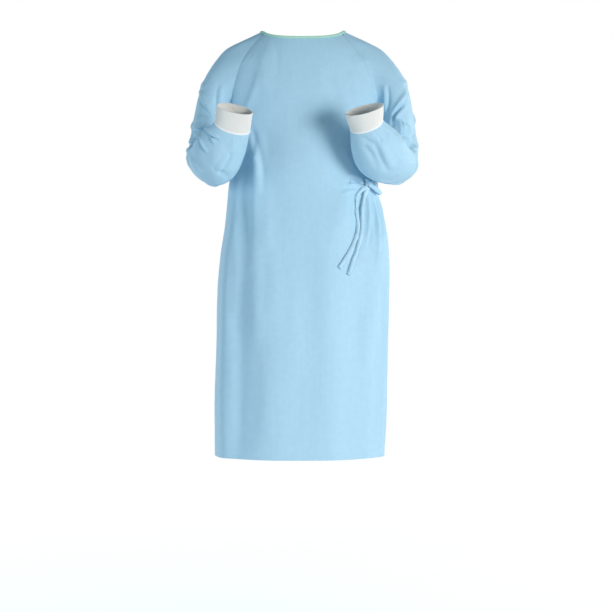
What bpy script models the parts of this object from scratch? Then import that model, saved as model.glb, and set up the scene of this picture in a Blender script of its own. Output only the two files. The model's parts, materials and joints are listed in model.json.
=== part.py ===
"""A wrap-back surgical gown, hollow, in the shape it has when it is worn with the forearms raised.

Metres, +Z up. The front faces -Y, and +X is the wearer's left. The origin is the middle of the neck
opening, level with the tops of the shoulders. Each piece that a maker would cut is one closed solid: a
sheet of points, given a wall along normals that it shares with the pieces it is sewn to.
"""

import math
from collections import namedtuple

import bmesh
import bpy
import numpy as np
from mathutils import Vector
from mathutils.bvhtree import BVHTree

# Cloth, seams and tapes.
WALL = 0.0016
SEAM_GAP = 0.0003
LAP_LIFT = 0.0066
MITRE_LEAST = 0.8
BINDING_WALL = 0.0011
BINDING_DROP = 0.0040
BINDING_CLEAR = 0.0009
TIE_WIDTH = 0.0135
TIE_THICK = 0.0014
TIE_CLEAR = 0.0005

# The cut: hem, underarm and the grids that the panels are made on.
HEM_Z = -1.155
UNDERARM_Z = -0.250
ARMPIT_REACH = 0.11
ARMPIT_WAY = (0.95, 0.0, -0.45)
ALONG_SHARE = 0.7
PANEL_SHARE = 0.6
SHOULDER_PULL = 1.25
UPPER_ARM_SHARE = 0.46
FRONT_COLUMNS = 26
BACK_COLUMNS = 14
YOKE_ROWS = 9
SKIRT_ROWS = 20
NECK_STEPS = 6
SLEEVE_RINGS = 26
CUFF_RINGS = 3
SQUARENESS = 2.3

Section = namedtuple("Section", "height right left front back")
SECTIONS = (
    Section(-1.155, 0.2420, 0.2200, -0.198, 0.192),
    Section(-1.000, 0.2410, 0.2225, -0.193, 0.186),
    Section(-0.860, 0.2360, 0.2270, -0.187, 0.178),
    Section(-0.730, 0.2335, 0.2310, -0.180, 0.168),
    Section(-0.620, 0.2260, 0.2325, -0.172, 0.154),
    Section(-0.530, 0.2125, 0.2260, -0.163, 0.138),
    Section(-0.478, 0.2085, 0.2160, -0.154, 0.126),
    Section(-0.440, 0.2055, 0.2055, -0.147, 0.119),
    Section(-0.405, 0.2020, 0.2030, -0.145, 0.117),
    Section(-0.350, 0.1930, 0.1950, -0.148, 0.121),
    Section(-0.290, 0.1920, 0.1920, -0.149, 0.128),
    Section(-0.264, 0.1960, 0.1960, -0.149, 0.131),
    Section(-0.250, 0.2050, 0.2050, -0.148, 0.132),
    Section(-0.210, 0.2075, 0.2075, -0.145, 0.133),
    Section(-0.160, 0.2080, 0.2080, -0.139, 0.129),
    Section(-0.110, 0.2020, 0.2020, -0.130, 0.118),
    Section(-0.070, 0.1860, 0.1860, -0.121, 0.103),
    Section(-0.038, 0.1600, 0.1600, -0.111, 0.084),
    Section(-0.018, 0.1310, 0.1310, -0.102, 0.069),
    Section(0.003, 0.1140, 0.1150, -0.092, 0.058),
)

# Height of the sewn edge, and how far out the raglan seams lie there, in front and at the back.
Raglan = namedtuple("Raglan", "height front back")
RAGLAN = (
    Raglan(-0.250, 0.2050, 0.2050),
    Raglan(-0.223, 0.1990, 0.1975),
    Raglan(-0.190, 0.1915, 0.1880),
    Raglan(-0.130, 0.1770, 0.1670),
    Raglan(-0.080, 0.1590, 0.1410),
    Raglan(-0.038, 0.1320, 0.1130),
    Raglan(-0.008, 0.1030, 0.0900),
)
NECK_FRONT_Z = -0.0265
NECK_BACK_Z = -0.0100

# How far round from the middle of the back the two free edges lie, in metres of X, at each height.
Wrap = namedtuple("Wrap", "height under over")
WRAP = (
    Wrap(-1.155, -0.090, 0.170),
    Wrap(-0.800, -0.085, 0.178),
    Wrap(-0.440, -0.070, 0.176),
    Wrap(-0.330, -0.066, 0.150),
    Wrap(-0.160, -0.052, 0.085),
    Wrap(-0.008, -0.036, 0.040),
)

# Rings of a sleeve: the outer and inner ends of its width, the middle in Y, half its depth, the angle by
# which the arm has bent forward from hanging straight down, and how far the ring is yawed to the middle.
Ring = namedtuple("Ring", "out_x out_z in_x in_z mid_y deep bend yaw")
RIGHT_SLEEVE = (
    Ring(0.1130, 0.0030, 0.2050, -0.2500, 0.000, 0.100, 0, 0),
    Ring(0.1455, -0.0110, 0.2090, -0.2540, -0.002, 0.107, 0, 0),
    Ring(0.1790, -0.0255, 0.2115, -0.2580, -0.004, 0.110, 0, 0),
    Ring(0.2170, -0.0435, 0.2130, -0.2625, -0.006, 0.109, 0, 0),
    Ring(0.2505, -0.0685, 0.2138, -0.2670, -0.009, 0.105, 0, 0),
    Ring(0.2770, -0.0985, 0.2140, -0.2730, -0.013, 0.099, 0, 0),
    Ring(0.2920, -0.1450, 0.2140, -0.2800, -0.017, 0.093, 0, 0),
    Ring(0.3010, -0.2200, 0.2135, -0.2930, -0.021, 0.088, 0, 0),
    Ring(0.3095, -0.2962, 0.2125, -0.3182, -0.0253, 0.083, 5, 2),
    Ring(0.3110, -0.3230, 0.2105, -0.3650, -0.0413, 0.078, 25, 5),
    Ring(0.3080, -0.3307, 0.2055, -0.3997, -0.0713, 0.066, 45, 8),
    Ring(0.3030, -0.3313, 0.1970, -0.4093, -0.1013, 0.052, 65, 11),
    Ring(0.2990, -0.3308, 0.1870, -0.4038, -0.1281, 0.0500, 85, 14),
    Ring(0.2985, -0.3307, 0.1775, -0.3947, -0.1543, 0.0510, 105, 17),
    Ring(0.2925, -0.3249, 0.1670, -0.3799, -0.1775, 0.053, 120, 19),
    Ring(0.2845, -0.3174, 0.1570, -0.3604, -0.1956, 0.0525, 127, 20),
    Ring(0.2695, -0.3066, 0.1485, -0.3376, -0.2128, 0.0485, 131, 20),
    Ring(0.2475, -0.2915, 0.1420, -0.3125, -0.2305, 0.041, 135, 20),
    Ring(0.2286, -0.2740, 0.1380, -0.2910, -0.2470, 0.031, 139, 20),
)
RIGHT_CUFF = (
    RIGHT_SLEEVE[-1],
    Ring(0.2252, -0.2535, 0.1340, -0.2690, -0.2620, 0.030, 146, 18),
    Ring(0.2208, -0.2314, 0.1292, -0.2461, -0.2760, 0.031, 152, 16),
)
LEFT_SLEEVE = (
    Ring(0.1135, 0.0040, 0.2050, -0.2500, 0.000, 0.100, 0, 0),
    Ring(0.1435, -0.0105, 0.2090, -0.2540, -0.002, 0.107, 0, 0),
    Ring(0.1820, -0.0260, 0.2115, -0.2580, -0.004, 0.110, 0, 0),
    Ring(0.2225, -0.0435, 0.2130, -0.2625, -0.006, 0.109, 0, 0),
    Ring(0.2590, -0.0720, 0.2138, -0.2670, -0.009, 0.105, 0, 0),
    Ring(0.2850, -0.1020, 0.2140, -0.2730, -0.013, 0.099, 0, 0),
    Ring(0.2990, -0.1450, 0.2140, -0.2800, -0.017, 0.093, 0, 0),
    Ring(0.3080, -0.2150, 0.2135, -0.2930, -0.021, 0.088, 0, 0),
    Ring(0.3105, -0.2972, 0.2125, -0.3172, -0.0253, 0.083, 5, 2),
    Ring(0.3100, -0.3320, 0.2095, -0.3600, -0.0413, 0.078, 25, 5),
    Ring(0.3090, -0.3427, 0.2030, -0.3887, -0.0713, 0.066, 45, 9),
    Ring(0.3045, -0.3458, 0.1915, -0.3948, -0.1013, 0.056, 65, 14),
    Ring(0.2980, -0.3458, 0.1760, -0.3908, -0.1281, 0.0505, 85, 19),
    Ring(0.2880, -0.3417, 0.1580, -0.3840, -0.1543, 0.0515, 105, 22),
    Ring(0.2800, -0.3359, 0.1430, -0.3739, -0.1775, 0.053, 120, 24),
    Ring(0.2700, -0.3254, 0.1330, -0.3554, -0.1956, 0.0525, 127, 24),
    Ring(0.2560, -0.3106, 0.1265, -0.3346, -0.2128, 0.0485, 131, 24),
    Ring(0.2340, -0.2930, 0.1235, -0.3110, -0.2305, 0.041, 135, 23),
    Ring(0.2067, -0.2714, 0.1249, -0.2873, -0.2470, 0.031, 139, 22),
)
LEFT_CUFF = (
    LEFT_SLEEVE[-1],
    Ring(0.2080, -0.2515, 0.1170, -0.2690, -0.2620, 0.030, 146, 20),
    Ring(0.2079, -0.2312, 0.1101, -0.2495, -0.2760, 0.031, 152, 18),
)

# Folds of the sleeves: from one turn round the arm, in degrees from the underarm by way of the front, and
# one place along its rings, to another.
Crease = namedtuple("Crease", "turn place to_turn to_place width depth")
RIGHT_CREASES = (
    Crease(200, 16.9, 238, 14.4, 0.017, -0.009),
    Crease(182, 15.7, 205, 13.4, 0.017, -0.008),
    Crease(186, 13.4, 232, 11.4, 0.018, -0.009),
    Crease(268, 15.5, 300, 12.0, 0.026, 0.006),
    Crease(95, 8.6, 150, 6.2, 0.022, 0.007),
    Crease(215, 8.4, 240, 4.5, 0.030, 0.007),
    Crease(330, 9.5, 285, 7.0, 0.026, -0.006),
)
LEFT_CREASES = (
    Crease(252, 16.6, 292, 12.4, 0.026, 0.008),
    Crease(118, 8.5, 150, 4.6, 0.022, 0.008),
    Crease(142, 8.8, 160, 7.0, 0.018, -0.009),
    Crease(172, 9.2, 205, 7.4, 0.022, 0.006),
    Crease(190, 15.0, 205, 12.6, 0.018, -0.007),
    Crease(220, 8.2, 245, 4.5, 0.030, 0.007),
    Crease(325, 9.5, 290, 7.0, 0.026, -0.006),
)
ARMHOLE_PLACES = 6.5
SLEEVES = {
    "right": (-1, RIGHT_SLEEVE, RIGHT_CUFF, RIGHT_CREASES),
    "left": (1, LEFT_SLEEVE, LEFT_CUFF, LEFT_CREASES),
}

# Folds of the body: from one place to another, by degrees round from the middle of the front, positive to
# the wearer's left, and height. A positive depth stands out, and a negative one is a trough.
Fold = namedtuple("Fold", "around height to_around to_height width depth")
BODY_FOLDS = (
    Fold(-40, -0.26, -33, -0.52, 0.020, 0.016),
    Fold(-49, -0.30, -44, -0.56, 0.022, -0.009),
    Fold(-33, -0.50, -25, -0.84, 0.024, 0.016),
    Fold(-58, -0.47, -56, -1.17, 0.030, 0.016),
    Fold(-45, -0.66, -41, -1.17, 0.028, -0.009),
    Fold(-14, -0.62, -11, -1.17, 0.034, 0.011),
    Fold(15, -0.58, 20, -1.17, 0.034, 0.011),
    Fold(33, -0.70, 37, -1.17, 0.030, -0.008),
    Fold(60, -0.42, 50, -0.86, 0.020, 0.014),
    Fold(66, -0.44, 74, -1.17, 0.026, 0.018),
    Fold(46, -0.41, 31, -0.60, 0.018, -0.013),
    Fold(38, -0.40, 16, -0.56, 0.018, 0.009),
    Fold(60, -0.40, 44, -0.28, 0.020, 0.012),
    Fold(-30, -0.06, -26, -0.17, 0.018, 0.007),
    Fold(112, -0.42, 118, -1.17, 0.034, 0.016),
    Fold(150, -0.38, 146, -1.17, 0.036, 0.015),
    Fold(188, -0.36, 184, -1.17, 0.036, 0.016),
    Fold(226, -0.40, 222, -1.17, 0.034, 0.016),
    Fold(255, -0.43, 254, -1.17, 0.030, 0.013),
    Fold(160, -0.12, 150, -0.34, 0.030, 0.009),
    Fold(205, -0.12, 214, -0.34, 0.030, 0.009),
)

# The two waist ties meet in a bow at the wearer's left. Routes on the front go by X and height, and the
# one round the side by degrees round from the middle of the front and height.
KNOT_X, KNOT_Z = 0.1740, -0.4210
KNOT_SIZE = (0.0095, 0.0080, 0.0085)
TAIL_WIDTH = 0.0105
TAIL_FRONT = (
    (0.1665, -0.4325), (0.1550, -0.4385), (0.1440, -0.4500), (0.1395, -0.4730), (0.1455, -0.5150),
    (0.1490, -0.5480), (0.1340, -0.5860), (0.1120, -0.6260), (0.0950, -0.6480),
)
TAIL_WRAP = (
    (0.1735, -0.4335), (0.1670, -0.4430), (0.1595, -0.4590), (0.1583, -0.4950), (0.1575, -0.5350),
    (0.1595, -0.5570), (0.1465, -0.5860), (0.1355, -0.6240), (0.1190, -0.6660),
)
FRONT_TIE = ((0.1260, -0.4180), (0.1640, -0.4190))
WRAP_TIE = ((129.0, -0.4140), (110.0, -0.4140), (90.0, -0.4160), (74.0, -0.4180), (65.5, -0.4190))

# Loops of the bow: length, half height, width of the tape, and the way that they point from the knot.
Loop = namedtuple("Loop", "name length height width way")
LOOPS = (
    Loop("tie_loop_long", 0.040, 0.0052, 0.0115, (0.78, 0.18, -0.60)),
    Loop("tie_loop_short", 0.008, 0.0038, 0.0080, (-0.45, -0.45, 0.78)),
)

# Touch tapes in the lap at the neck: X, height of the top, length, and how thick each is.
TOUCH_X, TOUCH_TOP, TOUCH_LENGTH, TOUCH_WIDTH = 0.001, -0.0185, 0.026, 0.022
TOUCH_THICK = (0.0015, 0.0016)

GOWN_BLUE = (0.37, 0.62, 0.80, 1.0)
KNIT_WHITE = (0.86, 0.86, 0.85, 1.0)
BINDING_GREEN = (0.43, 0.75, 0.58, 1.0)
TAPE_WHITE = (0.80, 0.82, 0.83, 1.0)

Sheet = namedtuple("Sheet", "name points tube flip pulled material")
# Which columns and rings of each kind of sheet are sewn, and which way round its inside lies.
SEWN_COLUMNS = {"front": ((0, 1), (-1, -1)), "under": ((0, 1),), "over": ((-1, -1),)}
SEWN_RINGS = {"sleeve": ((0, -1), (-1, 1)), "cuff": ((0, -1),)}


def slopes(at, values):
    """Slopes of a smooth curve through the values that never swings past them."""
    step = np.diff(at)
    rise = np.diff(values) / step
    inner = np.zeros(len(at))
    same = rise[1:] * rise[:-1] > 0
    left, right = step[:-1], step[1:]
    weight = 3 * (left + right)
    before, after = np.where(same, rise[:-1], 1), np.where(same, rise[1:], 1)
    mean = weight / ((2 * right + left) / before + (right + 2 * left) / after)
    inner[1:-1] = np.where(same, mean, 0)
    inner[0], inner[-1] = rise[0], rise[-1]
    return inner


def smooth(at, values, where):
    at, values = np.asarray(at, float), np.asarray(values, float)
    where = np.clip(where, at[0], at[-1])
    i = np.clip(np.searchsorted(at, where, side="right") - 1, 0, len(at) - 2)
    slope = slopes(at, values)
    width = at[i + 1] - at[i]
    t = (where - at[i]) / width
    start = (1 + 2 * t) * (1 - t) ** 2 * values[i] + t * (1 - t) ** 2 * width * slope[i]
    end = t * t * (3 - 2 * t) * values[i + 1] + t * t * (t - 1) * width * slope[i + 1]
    return start + end


def read(table, column, height):
    return float(smooth([row.height for row in table], [getattr(row, column) for row in table], height))


def unit(vector):
    return vector / np.maximum(np.linalg.norm(vector, axis=-1, keepdims=True), 1e-12)


def section(height):
    """Middle in X, half width, and half depths of the body at a height."""
    right, left = read(SECTIONS, "right", height), read(SECTIONS, "left", height)
    front, back = read(SECTIONS, "front", height), read(SECTIONS, "back", height)
    return (left - right) / 2, (left + right) / 2, front, back


def on_section(around, height):
    """Point of the plain body, `around` radians round from the middle of the front to the wearer's left."""
    middle, half, front, back = section(height)
    power = 2 / SQUARENESS
    sine, cosine = math.sin(around), math.cos(around)
    x = middle + half * math.copysign(abs(sine) ** power, sine)
    depth = front if cosine > 0 else back
    return np.array([x, depth * abs(cosine) ** power, height])


def around_at(x, height, at_back=False):
    """Where on the section a given X lies, in radians round from the middle of the front."""
    middle, half, _, _ = section(height)
    share = np.clip((x - middle) / half, -1, 1)
    angle = math.asin(math.copysign(abs(share) ** (SQUARENESS / 2), share))
    return math.pi - angle if at_back else angle


def fold_lift(around, height):
    """How far the folds push the cloth out at a place on the body."""
    lift = 0.0
    degrees = math.degrees(around)
    for fold in BODY_FOLDS:
        run = fold.to_height - fold.height
        share = (height - fold.height) / run
        ease = min(1.0, max(0.0, (share + 0.12) / 0.35)) * min(1.0, max(0.0, (1.12 - share) / 0.3))
        middle = fold.around + (fold.to_around - fold.around) * min(max(share, 0.0), 1.0)
        off = (degrees - middle + 180) % 360 - 180
        across = math.radians(off) * 0.20 / fold.width
        lift += fold.depth * ease * ease * (3 - 2 * ease) * math.exp(-across * across)
    return lift


def body_point(around, height, lift=0.0):
    here = on_section(around, height)
    step = 0.02
    tangent = on_section(around + step, height) - on_section(around - step, height)
    rise = on_section(around, height + step / 4) - on_section(around, height - step / 4)
    outward = unit(np.cross(tangent, rise))
    fade = float(smooth([UNDERARM_Z - 0.06, UNDERARM_Z + 0.02], [1, 0], height))
    at_side = math.sin(around) ** 8
    return here + outward * (lift + fold_lift(around, height) * (1 - at_side * (1 - fade) * 0.9))


def row_heights():
    """Heights of the rows at the seams: closer together round the waist, then up the yoke."""
    share = np.linspace(0, 1, SKIRT_ROWS + 1)
    skirt = smooth([0, 0.42, 0.72, 1], [HEM_Z, -0.66, -0.40, UNDERARM_Z], share)
    yoke = np.linspace(UNDERARM_Z, RAGLAN[-1].height, YOKE_ROWS + 1)[1:]
    return np.concatenate([skirt, yoke])


def front_panel():
    """From hem to neck, between the side seams and then the raglan seams."""
    grid = []
    for height in row_heights():
        above = max(0.0, (height - UNDERARM_Z) / (RAGLAN[-1].height - UNDERARM_Z))
        edge = read(RAGLAN, "front", height) if above > 0 else None
        start = around_at(-edge, height) if edge else -math.pi / 2
        end = around_at(edge, height) if edge else math.pi / 2
        dip = (NECK_FRONT_Z - RAGLAN[-1].height) * above**1.5
        row = []
        for share in np.linspace(-1, 1, FRONT_COLUMNS + 1):
            around = start + (end - start) * (share + 1) / 2
            row.append(body_point(around, height + dip * (1 - share * share)))
        grid.append(row)
    return np.array(grid)


def back_panel(over):
    """One back: the left one lies under, and the right one laps over it to the wearer's left side."""
    grid = []
    for height in row_heights():
        above = max(0.0, (height - UNDERARM_Z) / (RAGLAN[-1].height - UNDERARM_Z))
        edge = read(RAGLAN, "back", height) if above > 0 else None
        free = around_at(read(WRAP, "over" if over else "under", height), height, at_back=True)
        if over:
            start, end = free, around_at(-edge, height, at_back=True) if edge else 1.5 * math.pi
        else:
            start, end = around_at(edge, height, at_back=True) if edge else math.pi / 2, free
        dip = (NECK_BACK_Z - RAGLAN[-1].height) * above**2
        under_edge = around_at(read(WRAP, "under", height), height, at_back=True)
        row = []
        for share in np.linspace(0, 1, BACK_COLUMNS + 1):
            around = start + (end - start) * share
            lap = float(smooth([under_edge, under_edge + 0.35], [1, 0], around)) if over else 0.0
            middle = math.cos(math.pi / 2 * min(1.0, abs(around - math.pi) / 0.9))
            row.append(body_point(around, height + dip * middle, LAP_LIFT * lap))
        grid.append(row)
    return np.array(grid)


def ring_frame(rows, place, side):
    """Middle, width vector and depth vector of a sleeve's ring, read between the rows of its table."""
    at = np.arange(len(rows))
    ring = Ring(*(float(smooth(at, [row[k] for row in rows], place)) for k in range(len(Ring._fields))))
    half = (ring.out_x - ring.in_x) / 2
    middle = np.array([side * (ring.out_x + ring.in_x) / 2, ring.mid_y, (ring.out_z + ring.in_z) / 2])
    turned = -abs(half) * math.tan(math.radians(ring.yaw))
    width = np.array([side * half, turned, (ring.out_z - ring.in_z) / 2])
    bend = math.radians(ring.bend)
    front = np.array([0.0, -math.cos(bend), math.sin(bend)])
    front = unit(front - width * (front @ width) / (width @ width))
    return middle, width, front * ring.deep


def on_ring(frame, turn):
    """Point of a ring, `turn` radians from the underarm by way of the front."""
    middle, width, depth = frame
    return middle - width * math.cos(turn) + depth * math.sin(turn)


def crease_lift(creases, turn, place, radius=0.06):
    """How far a sleeve's folds push its cloth out, `turn` radians round and at a place along the rings."""
    lift = 0.0
    for crease in creases:
        share = (place - crease.place) / (crease.to_place - crease.place)
        ease = min(1.0, max(0.0, (share + 0.2) / 0.4)) * min(1.0, max(0.0, (1.2 - share) / 0.5))
        middle = crease.turn + (crease.to_turn - crease.turn) * min(max(share, 0.0), 1.0)
        off = (math.degrees(turn) - middle + 180) % 360 - 180
        across = math.radians(off) * radius / crease.width
        lift += crease.depth * ease * ease * (3 - 2 * ease) * math.exp(-across * across)
    return lift


def seam_leaving(panel, column, inside):
    """Ways in which cloth runs on past a panel's raglan edge, and the panel's normals there."""
    rows = range(SKIRT_ROWS, SKIRT_ROWS + YOKE_ROWS + 1)
    ways, normals = [], []
    for i in rows:
        way = unit(panel[i, column] - panel[i, inside])
        seam = panel[min(i + 1, rows[-1]), column] - panel[i - 1, column]
        ways.append(way)
        normals.append(unit(np.cross(way, seam)))
    return ways, normals


def sleeve(side, rows, creases, front, back, neck):
    """A raglan sleeve. It leaves the seams in line with the panels, and then runs through its rings."""
    (front_grid, front_column, front_inside), (back_grid, back_column, back_inside) = front, back
    edge = [front_grid[SKIRT_ROWS + k, front_column] for k in range(YOKE_ROWS + 1)]
    edge += list(neck)
    edge += [back_grid[SKIRT_ROWS + YOKE_ROWS - k, back_column] for k in range(YOKE_ROWS)]
    count = len(edge)
    front_ways, front_normals = seam_leaving(front_grid, front_column, front_inside)
    back_ways, back_normals = seam_leaving(back_grid, back_column, back_inside)
    over_shoulder = [None] * (NECK_STEPS - 1)
    ways = front_ways + over_shoulder + back_ways[::-1][:YOKE_ROWS]
    normals = front_normals + over_shoulder + back_normals[::-1][:YOKE_ROWS]
    turns = [2 * math.pi * k / count for k in range(count)]
    grid = []
    starts, leaving, reaching = [], [], []
    for k, turn in enumerate(turns):
        target = on_ring(ring_frame(rows, ARMHOLE_PLACES, side), turn)
        after = on_ring(ring_frame(rows, ARMHOLE_PLACES + 0.1, side), turn)
        gap = target - edge[k]
        plain = on_ring(ring_frame(rows, 0.6, side), turn) - on_ring(ring_frame(rows, 0, side), turn)
        if ways[k] is None or k == 0:
            way = unit(plain)
        else:
            along = unit(gap - normals[k] * (gap @ normals[k]))
            open_up = float(smooth([0, ARMPIT_REACH], [0, 1], edge[k][2] - UNDERARM_Z))
            run_on = ALONG_SHARE * along + PANEL_SHARE * ways[k]
            way = unit(open_up * run_on + (1 - open_up) * np.array(ARMPIT_WAY) * (side, 1, 1))
        reach = np.linalg.norm(gap)
        starts.append(edge[k])
        leaving.append(way * reach * (1.0 if ways[k] is not None and k else SHOULDER_PULL))
        reaching.append((after - target) / 0.1 * ARMHOLE_PLACES)
    even = np.linspace(0, 1, SLEEVE_RINGS + 1)
    places = smooth([0, UPPER_ARM_SHARE, 1], [0, len(rows) * UPPER_ARM_SHARE, len(rows) - 1], even)
    for place in places:
        ring = [on_ring(ring_frame(rows, place, side), turn) for turn in turns]
        if place < ARMHOLE_PLACES:
            t = place / ARMHOLE_PLACES
            for k, turn in enumerate(turns):
                end = on_ring(ring_frame(rows, ARMHOLE_PLACES, side), turn)
                pull = min(1.0, np.linalg.norm(end - starts[k]) / np.linalg.norm(reaching[k]))
                joined = (
                    (1 + 2 * t) * (1 - t) ** 2 * starts[k]
                    + t * (1 - t) ** 2 * leaving[k]
                    + t * t * (3 - 2 * t) * end
                    + t * t * (t - 1) * reaching[k] * pull
                )
                outer = max(0.0, -math.cos(turn)) ** 3
                stray = (starts[k] - on_ring(ring_frame(rows, 0, side), turn)) * (1 - t) ** 2
                ring[k] = joined * (1 - outer) + (ring[k] + stray) * outer
        middle = np.mean(ring, axis=0)
        fade = min(1.0, place / 3, (len(rows) - 1 - place) / 1.5)
        for k, turn in enumerate(turns):
            ring[k] = ring[k] + unit(ring[k] - middle) * crease_lift(creases, turn, place) * fade
        grid.append(ring)
    return np.array(grid)


def cuff(side, rows, seam):
    """A knit cuff that starts on the last ring of its sleeve."""
    count = len(seam)
    first = ring_frame(rows, 0, side)
    turns = [2 * math.pi * k / count for k in range(count)]
    stray = [seam[k] - on_ring(first, turns[k]) for k in range(count)]
    grid = []
    for place in np.linspace(0, len(rows) - 1, CUFF_RINGS + 1):
        frame = ring_frame(rows, place, side)
        grid.append([on_ring(frame, turns[k]) + stray[k] for k in range(count)])
    return np.array(grid)


def neck_side(side, front_corner, back_corner):
    """The sleeve's own stretch of the neck edge, between the two raglan corners."""
    top = (LEFT_SLEEVE if side > 0 else RIGHT_SLEEVE)[0]
    outer = np.array([side * top.out_x, -0.004, top.out_z])
    points = []
    for share in np.linspace(0, 1, NECK_STEPS + 1)[1:-1]:
        bow = 4 * share * (1 - share)
        straight = front_corner + (back_corner - front_corner) * share
        points.append(straight + (outer - (front_corner + back_corner) / 2) * bow)
    return points


def build_sheets():
    front, under, over = front_panel(), back_panel(False), back_panel(True)
    front_edges = {"right": (front, 0, 1), "left": (front, -1, -2)}
    back_edges = {"right": (over, -1, -2), "left": (under, 0, 1)}
    sheets = {
        "front_panel": Sheet("front_panel", front, False, False, "front", "gown"),
        "back_panel_left": Sheet("back_panel_left", under, False, False, "under", "gown"),
        "back_panel_right": Sheet("back_panel_right", over, False, False, "over", "gown"),
    }
    for name, (side, rows, cuff_rows, creases) in SLEEVES.items():
        corners = [grid[-1, column] for grid, column, _ in (front_edges[name], back_edges[name])]
        neck = neck_side(side, *corners)
        tube = sleeve(side, rows, creases, front_edges[name], back_edges[name], neck)
        sheets[f"sleeve_{name}"] = Sheet(f"sleeve_{name}", tube, True, side > 0, "sleeve", "gown")
        band = cuff(side, cuff_rows, tube[-1])
        sheets[f"cuff_{name}"] = Sheet(f"cuff_{name}", band, True, side > 0, "cuff", "knit")
    return sheets


def grid_normals(sheet):
    """Unscaled normals of a sheet's points: the sum of those of the faces round each."""
    points = sheet.points
    rows, columns = points.shape[:2]
    total = np.zeros_like(points)
    across = columns if sheet.tube else columns - 1
    for i in range(rows - 1):
        for j in range(across):
            k = (j + 1) % columns
            normal = np.cross(points[i + 1, k] - points[i, j], points[i + 1, j] - points[i, k])
            normal = -normal if sheet.flip else normal
            for a, b in ((i, j), (i, k), (i + 1, j), (i + 1, k)):
                total[a, b] += normal
    return total


def key(point):
    return tuple(int(round(value * 1e6)) for value in point)


def shared_normals(sheets):
    """Each point's normal, the same for every sheet sewn there, with the body's panels counted as one.
    Where the cloth turns sharply the normal is lengthened, so that the wall keeps its thickness."""
    normals = {name: grid_normals(sheet) for name, sheet in sheets.items()}
    meet = {}
    for name, sheet in sheets.items():
        part = "body" if "panel" in name else name
        for point, normal in zip(sheet.points.reshape(-1, 3), normals[name].reshape(-1, 3)):
            here = meet.setdefault(key(point), {})
            here[part] = here.get(part, 0) + normal
    shared = {}
    for name, sheet in sheets.items():
        flat = []
        for point in sheet.points.reshape(-1, 3):
            parts = [unit(normal) for normal in meet[key(point)].values()]
            middle = unit(np.sum(parts, axis=0))
            flat.append(middle / max(MITRE_LEAST, float(middle @ parts[0])))
        shared[name] = np.array(flat).reshape(sheet.points.shape)
    return shared


def inset(normal, ways, inward):
    """Move that takes a point of a sewn edge half the seam gap off each edge that meets there."""
    offs = [inward * unit(np.cross(way, normal)) for way in ways]
    share = max(0.5, 1 + float(offs[0] @ offs[-1])) if len(offs) > 1 else 1.0
    return np.sum(offs, axis=0) * SEAM_GAP / 2 / share


def pulled_back(sheet, normals):
    """The points with each sewn edge drawn back by half the seam gap, along the cloth."""
    points = sheet.points
    rows, columns = points.shape[:2]
    move = np.zeros_like(points)
    for j, inward in SEWN_COLUMNS.get(sheet.pulled, ()):
        for i in range(rows):
            ways = [points[k + 1, j] - points[k, j] for k in (i - 1, i) if 0 <= k < rows - 1]
            move[i, j] += inset(unit(normals[i, j]), ways, inward)
    for i, inward in SEWN_RINGS.get(sheet.pulled, ()):
        for j in range(columns):
            ways = []
            for k in (j - 1, j):
                on_neck = sheet.pulled == "sleeve" and i == 0 and YOKE_ROWS <= k < YOKE_ROWS + NECK_STEPS
                if not on_neck:
                    ways.append(points[i, (k + 1) % columns] - points[i, k % columns])
            if ways:
                move[i, j] += inset(unit(normals[i, j]), ways, -inward if sheet.flip else inward)
    return points + move


def solid_from_grid(name, outer, inner, tube, flip):
    """Closed mesh between two grids of points, rims and all."""
    mesh = bmesh.new()
    rows, columns = outer.shape[:2]
    skins = []
    for grid in (outer, inner):
        skins.append([[mesh.verts.new(grid[i, j]) for j in range(columns)] for i in range(rows)])
    across = columns if tube else columns - 1

    def face(*corners):
        mesh.faces.new(corners[::-1] if flip else corners)

    top, bottom = skins
    for i in range(rows - 1):
        for j in range(across):
            k = (j + 1) % columns
            face(top[i][j], top[i][k], top[i + 1][k], top[i + 1][j])
            face(bottom[i][j], bottom[i + 1][j], bottom[i + 1][k], bottom[i][k])
    for j in range(across):
        k = (j + 1) % columns
        face(top[0][j], bottom[0][j], bottom[0][k], top[0][k])
        face(top[-1][k], bottom[-1][k], bottom[-1][j], top[-1][j])
    if not tube:
        for i in range(rows - 1):
            face(top[i + 1][0], bottom[i + 1][0], bottom[i][0], top[i][0])
            face(top[i][-1], bottom[i][-1], bottom[i + 1][-1], top[i + 1][-1])
    return finish_mesh(mesh, name)


def finish_mesh(mesh, name):
    data = bpy.data.meshes.new(name)
    mesh.to_mesh(data)
    mesh.free()
    data.shade_smooth()
    data.set_sharp_from_angle(angle=math.radians(50))
    thing = bpy.data.objects.new(name, data)
    bpy.context.scene.collection.objects.link(thing)
    return thing


def make_materials():
    looks = {
        "gown": (GOWN_BLUE, 0.72),
        "knit": (KNIT_WHITE, 0.90),
        "binding": (BINDING_GREEN, 0.70),
        "tape": (TAPE_WHITE, 0.85),
    }
    made = {}
    for name, (colour, roughness) in looks.items():
        material = bpy.data.materials.new(name)
        material.use_nodes = True
        shader = material.node_tree.nodes["Principled BSDF"]
        shader.inputs["Base Color"].default_value = colour
        shader.inputs["Roughness"].default_value = roughness
        shader.inputs["Metallic"].default_value = 0.0
        made[name] = material
    return made


def build_panels(sheets, normals, materials):
    for name, sheet in sheets.items():
        middle = pulled_back(sheet, normals[name])
        out, into = middle + normals[name] * WALL / 2, middle - normals[name] * WALL / 2
        thing = solid_from_grid(name, out, into, sheet.tube, sheet.flip)
        thing.data.materials.append(materials[sheet.material])


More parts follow.
